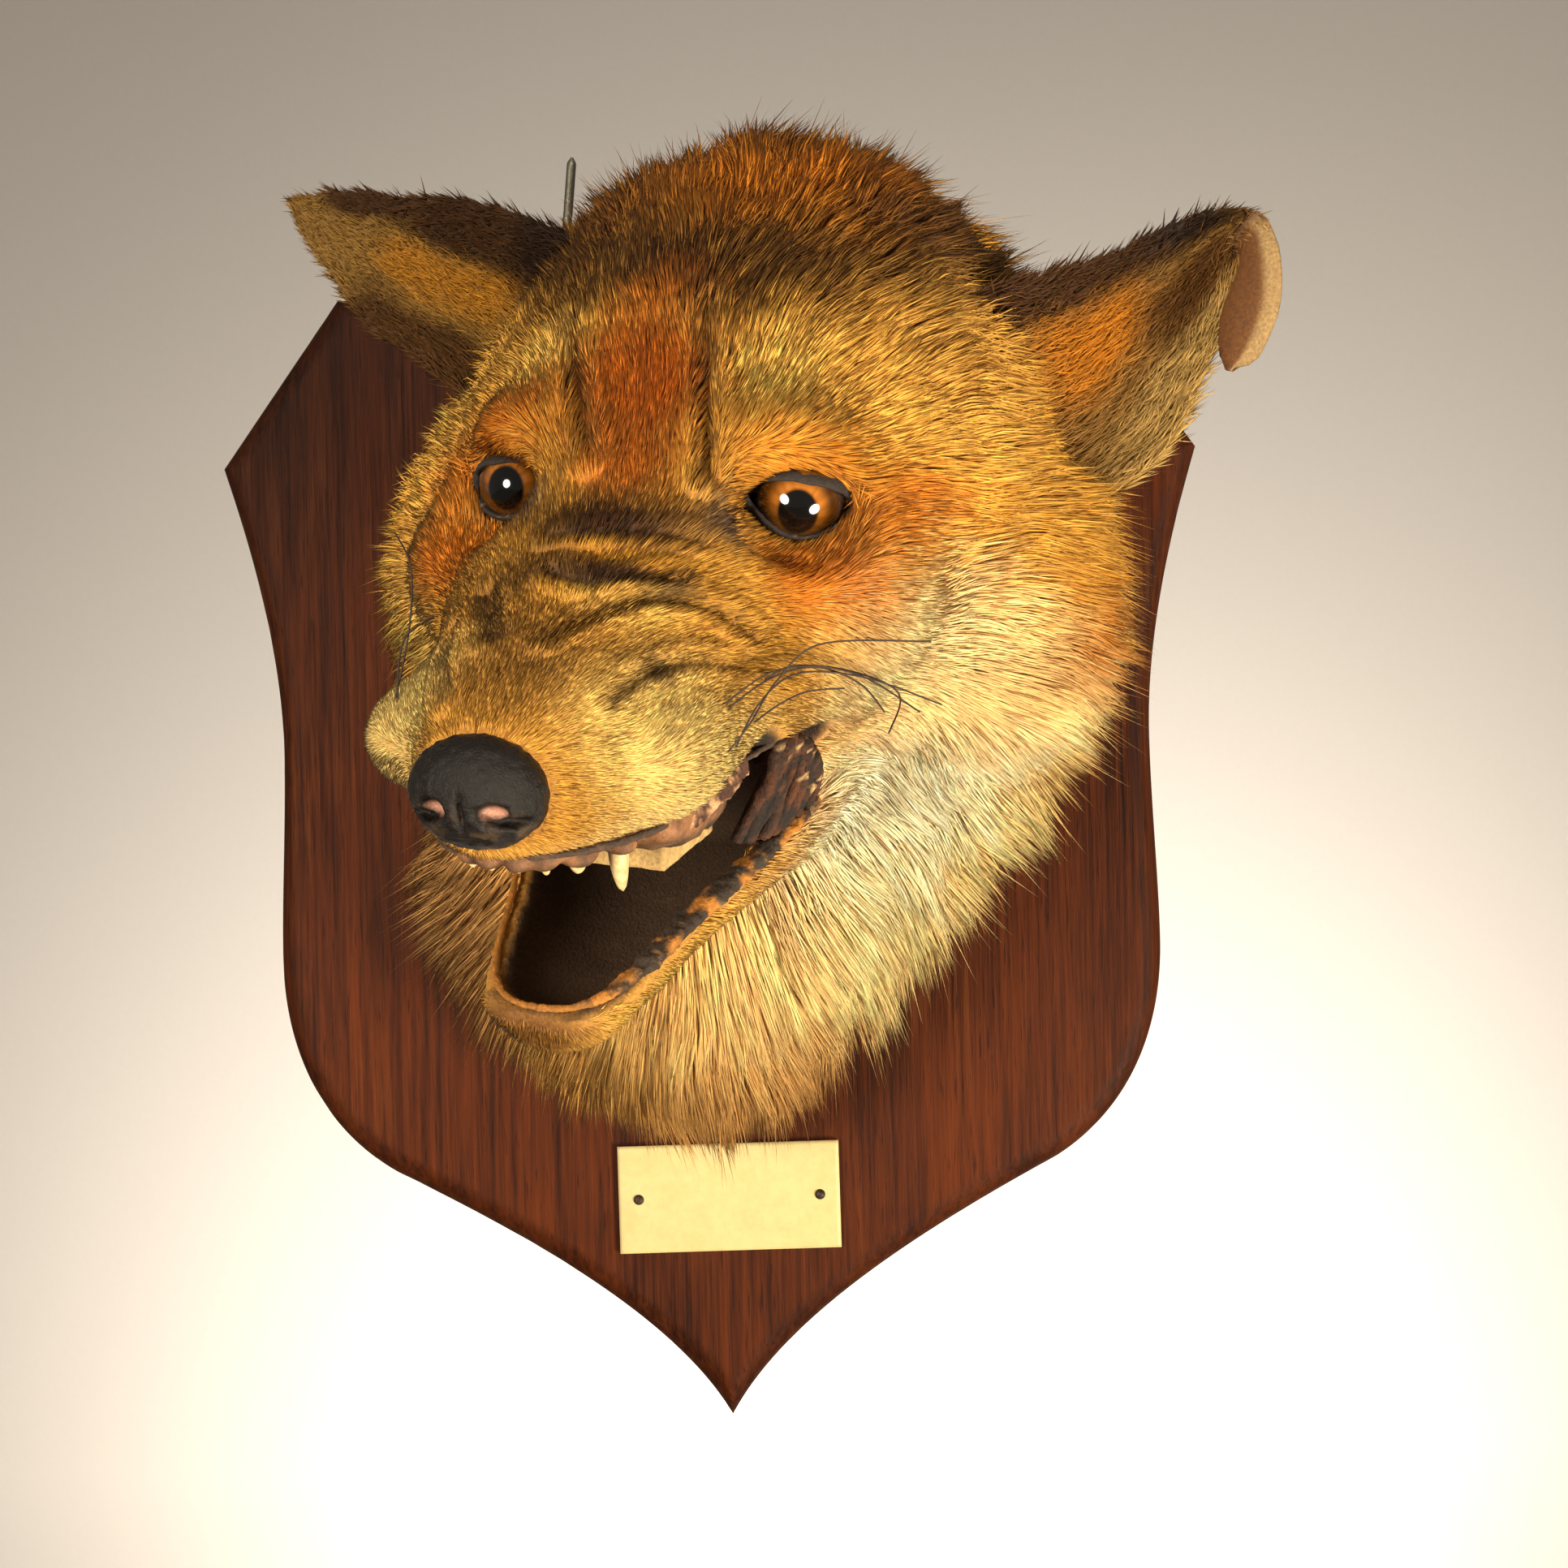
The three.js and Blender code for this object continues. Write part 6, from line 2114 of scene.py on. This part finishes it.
@dataclass
class Bristles:
    """Whiskers swept by a node group along drawn lines."""

    thickness: float = 0.18
    taper: float = 1.08
    steps: int = 24
    lines: tuple = (
        ((31.5, -50.6, -35.7), (34.2, -47.4, -31.5), (35.7, -36.4, -26), (41.1, -27.5, -21),
         (55.7, -7, -23.6)),
        ((31.9, -47.5, -35.5), (34, -40.1, -28.9), (37.8, -30.2, -25.9), (46.4, -17.2, -28.9),
         (55.1, 5.7, -38.3)),
        ((29.2, -45.5, -28.7), (34.6, -35.2, -24.8), (42.3, -22.6, -26.3), (48.8, -2.9, -34.5),
         (44.9, 5.9, -44.7)),
        ((29.8, -45.6, -29.4), (34.4, -36, -25.8), (39.8, -26, -25.6), (45.4, -17.3, -30.1),
         (46.2, -2.7, -38.5)),
        ((31.9, -37.3, -33.6), (35.7, -35.3, -30.6), (39, -29.1, -29.4), (43.8, -22.4, -29.9)),
        ((31.4, -31, -27.8), (36.9, -29.9, -24.7), (45.6, -18.3, -28.3), (51.2, 4.4, -39.7)),
        ((-28, -56, -32), (-27, -52, -22), (-28, -47, -13.7), (-31, -41.6, -8.2),
         (-37, -35, -4.6)),
        ((-27, -56, -31), (-26, -55, -20), (-22.8, -49.2, -16.4)))

    def whiskers(self, anatomy: Anatomy, material: bpy.types.Material) -> bpy.types.Object:
        """Long stiff hairs of both whisker pads."""
        points, edges = [], []
        for line in self.lines:
            first = len(points)
            points += anatomy.head.outward(np.array(line)).tolist()
            edges += [(i, i + 1) for i in range(first, len(points) - 1)]
        piece = plain("whiskers", (np.array(points) * MM).tolist(), edges, [])
        sweep = Recipe("whisker_sweep", Lines="Geometry", Thickness="Float", Steps="Int")
        curve = sweep.node("GeometryNodeMeshToCurve", {"Mesh": sweep.given("Lines")})
        smooth = sweep.node("GeometryNodeCurveSplineType", {"Curve": curve},
                            spline_type="CATMULL_ROM")
        even = sweep.node("GeometryNodeResampleCurve", {
            "Curve": smooth, "Count": sweep.given("Steps")})
        along = sweep.node("GeometryNodeSplineParameter", {})
        taper = sweep.node("ShaderNodeMath", {0: self.taper, 1: along}, operation="SUBTRACT")
        tapered = sweep.node("GeometryNodeSetCurveRadius", {"Curve": even, "Radius": taper})
        ring = sweep.node("GeometryNodeCurvePrimitiveCircle", {
            "Resolution": 5, "Radius": sweep.given("Thickness")})
        hairs = sweep.node("GeometryNodeCurveToMesh", {
            "Curve": tapered, "Profile Curve": ring, "Fill Caps": True})
        return sweep.run(piece, hairs, material, Thickness=self.thickness * MM,
                         Steps=self.steps)


LEFT_EAR = Ear(
    spine=((-44, 53, 23), (-62, 60, 31), (-82, 66, 37), (-101, 70, 44.5), (-115, 74, 50.5)),
    across=((-.6, -.2, -.77), (-.6, -.2, -.77), (-.5, -.2, -.84), (-.4, -.1, -.9),
            (-.4, -.1, -.9)),
    half_widths=(21, 19, 16, 8, 2), cups=(9, 9, 7, 3, 0.5), facing=1, ground=(0.66, 0.36, 0.075),
    bands=((-2, -0.1, -1, 0.25, (0.05, 0.018, 0.004)), (-2, -0.4, 0.2, 0.55, (0.12, 0.044, 0.007)),
           (-2, -0.6, 0.5, 0.85, (0.14, 0.052, 0.008)), (-0.35, 0.3, 0.15, 0.6, (0.95, 0.41, 0.03)),
           (0.45, 2, -1, 0.6, (0.21, 0.085, 0.014))), dim=0.5)
RIGHT_EAR = Ear(
    spine=((50, 58, 8), (66, 66, 16), (75, 73, 24.5), (82.5, 81, 33), (89, 86, 40.5),
           (96, 87, 47), (100.5, 83.5, 42), (100.5, 79, 32), (97.5, 77, 19.5)),
    across=((.5, -.1, -.86), (.5, -.1, -.86), (.45, -.1, -.88), (.5, -.1, -.86),
            (.62, -.1, -.78), (.8, -.4, -.45), (.8, -.6, 0), (.9, -.3, .1), (.9, -.3, .1)),
    half_widths=(26, 24, 19, 13.5, 9, 5, 5, 6, 5), cups=(10, 10, 8, 7, 5, 3, 2, 1.5, 0.5),
    facing=-1, ground=(0.48, 0.24, 0.05),
    bands=((-2, -0.55, -1, 0.6, (0.10, 0.036, 0.005)), (-2, -0.6, 0.42, 0.62, (0.04, 0.015, 0.004)),
           (-0.55, 0.15, 0.08, 0.34, Shade.ORANGE.value), (0.55, 2, 0.1, 0.5, (0.88, 0.56, 0.17)),
           (-0.2, 0.5, 0.3, 0.6, (0.24, 0.095, 0.013)), (-2, 2, 0.66, 2, (0.27, 0.095, 0.012)),
           (0.55, 2, 0.66, 2, (0.66, 0.42, 0.17))),
    bare_from=0.66, dim=0.64)


# ------------------------------------------------------------------------- stage

@dataclass
class Stage:
    """Pale cove, soft lamps and the camera."""

    wall: float = 2.2
    floor: float = -1.3

    def cove(self) -> None:
        """Seamless floor and wall."""
        radius = 0.5
        arc = [(self.wall - radius + radius * math.sin(a), self.floor + radius - radius
                * math.cos(a)) for a in np.linspace(0, math.pi / 2, 25)]
        line = [(-3.0, self.floor)] + arc + [(self.wall, 4.0)]
        vertices = [(x, y, z) for x in (-4.5, 4.5) for y, z in line]
        n = len(line)
        faces = [(i, i + n, i + n + 1, i + 1) for i in range(n - 1)]
        piece = plain("cove", vertices, [], faces)
        piece.data.shade_smooth()
        piece.data.materials.append(PlainFinish("paper", (0.60, 0.55, 0.49), (0.58, 0.53, 0.47),
                                                0.9, depth=0.0).make())

    def lamp(self, name: str, at: Point, size: float, watts: float, colour: Colour,
             spread: float = 180.0, towards: Point = (0.01, -0.13, 0.05)) -> None:
        """A round area lamp that looks at the mask or another place.

        Args:
            name: what to call it.
            at: where it hangs, in metres.
            size: its width in metres.
            watts: its power.
            colour: of its light.
            spread: how wide its light fans out, in degrees.
            towards: the place it looks at.
        """
        data = bpy.data.lights.new(name, "AREA")
        data.shape = "DISK"
        data.size = size
        data.energy = watts
        data.color = colour
        data.spread = math.radians(spread)
        lamp = bpy.data.objects.new(name, data)
        lamp.location = at
        aim = Vector(towards) - Vector(at)
        lamp.rotation_mode = "QUATERNION"
        lamp.rotation_quaternion = aim.to_track_quat("-Z", "Y")
        bpy.context.scene.collection.objects.link(lamp)

    def light(self) -> None:
        """Warm key from the lower right, a fill and a soft top light."""
        self.lamp("key", (0.75, -0.70, -0.42), 0.46, 2.0, (1.0, 0.90, 0.70), 45.0)
        self.lamp("side", (-0.62, -0.95, 0.02), 0.42, 1.3, (1.0, 0.90, 0.74), 50.0)
        self.lamp("top", (0.05, -0.85, 0.85), 0.5, 0.72, (1.0, 0.89, 0.72), 50.0)
        self.lamp("wall", (0.12, 1.0, -1.08), 0.5, 58.0, (1.0, 0.95, 0.88), 180.0,
                  (0.15, 2.2, -0.25))
        world = bpy.data.worlds.new("studio")
        world.use_nodes = True
        world.node_tree.nodes["Background"].inputs["Color"].default_value = (1, 0.90, 0.78, 1)
        world.node_tree.nodes["Background"].inputs["Strength"].default_value = 0.16
        bpy.context.scene.world = world
        bpy.context.scene.view_settings.view_transform = "Standard"

    def camera(self) -> None:
        """Square on to the shield, a little low, with a slight roll."""
        data = bpy.data.cameras.new("camera")
        data.sensor_width = 36.0
        data.lens = 52.17
        data.clip_start = 0.01
        camera = bpy.data.objects.new("camera", data)
        roll = Matrix.Rotation(math.radians(1.4), 3, "Y")
        turn = roll @ Matrix.Rotation(math.radians(90), 3, "X")
        camera.matrix_world = Matrix.Translation((0.0165, -0.578, 0.0169)) @ turn.to_4x4()
        bpy.context.scene.collection.objects.link(camera)
        bpy.context.scene.camera = camera


# ------------------------------------------------------------------------- the whole trophy

def main() -> None:
    """Builds every piece in order."""
    logging.basicConfig(level=logging.INFO)
    stage = Stage()
    stage.cove()
    stage.light()
    stage.camera()
    anatomy = Anatomy()
    markings = Markings()
    skin = Skin(anatomy, markings)
    hide_finish = SkinFinish().make()
    fur = FurFinish().make()
    hide = skin.make()
    log.info("hide %d", len(hide.faces))
    whole = hide
    furred = []
    for ear, name in ((LEFT_EAR, "coat_ear_left"), (RIGHT_EAR, "coat_ear_right")):
        leaf = ear.make(anatomy.head)
        whole = whole + leaf
        furred.append((name, spread(ear.fur(leaf, anatomy.head, 41))))
    eyes = [Eye(anatomy, side) for side in (-1, 1)]
    for eye in eyes:
        whole = whole + eye.lids()
    mouth = Mouth(anatomy)
    whole = whole + mouth.jaw_rim() + mouth.lip_edge(-1) + mouth.lip_edge(1)
    whole = whole + mouth.torn_strip() + mouth.cheek_lining()
    place(build("hide", whole, hide_finish), "fur", "head", "muzzle", "lower_jaw", "neck",
          "ear_left", "ear_right")
    coat = Coat(anatomy, markings, skin)
    grown = coat.grow(hide) + [(name, *tufts.make(1, 3)) for name, tufts in furred]
    for name, shell, maps in grown:
        place(build(name, shell, fur, uv=maps), "fur")
    glass = TintFinish("eye_glass", 0.08, 60.0, 0.0, 0.6).make()
    for eye, name in zip(eyes, ("left", "right")):
        place(build(f"glass_eye_{name}", eye.ball(), glass), "eye_glass", f"eye_{name}")
    leather = TintFinish("nose_leather", 0.42, 2200.0, 0.0004, shine=0.28).make()
    place(build("nose_pad", Nose(anatomy).make(), leather), "nose_leather", "nose")
    place(build("palate", mouth.roof(), TintFinish("plaster", 0.7).make()), "palate",
          "palate_teeth")
    place(build("teeth", mouth.dentition(), TintFinish("bone", 0.35, 900.0, 0.0001).make()),
          "palate")
    place(build("prop_board", Board(anatomy).make(), TintFinish("pine", 0.8).make()), "pine",
          "mouth_board")
    place(Shield().object(OakFinish().make()), "oak", "shield")
    fittings = Fittings()
    place(build("label_bare", fittings.label(),
                PlainFinish("label", (0.64, 0.51, 0.23), (0.54, 0.40, 0.16), 0.5, 0.0, 500.0,
                            0.0001).make()), "label", "label_plate")
    black = PlainFinish("pin_iron", (0.035, 0.022, 0.012), (0.07, 0.042, 0.020), 0.5, 0.6).make()
    place(fittings.pins(black), "pins", "plate_pin_left", "plate_pin_right")
    place(build("rod_steel", fittings.rod(),
                PlainFinish("steel", (0.20, 0.19, 0.15), (0.12, 0.10, 0.07), 0.45, 0.8).make()),
          "rod", "hanging_rod")
    hair = PlainFinish("whisker", (0.022, 0.012, 0.008), (0.05, 0.025, 0.012), 0.7).make()
    place(Bristles().whiskers(anatomy, hair), "fur")


if __name__ == "__main__":
    main()
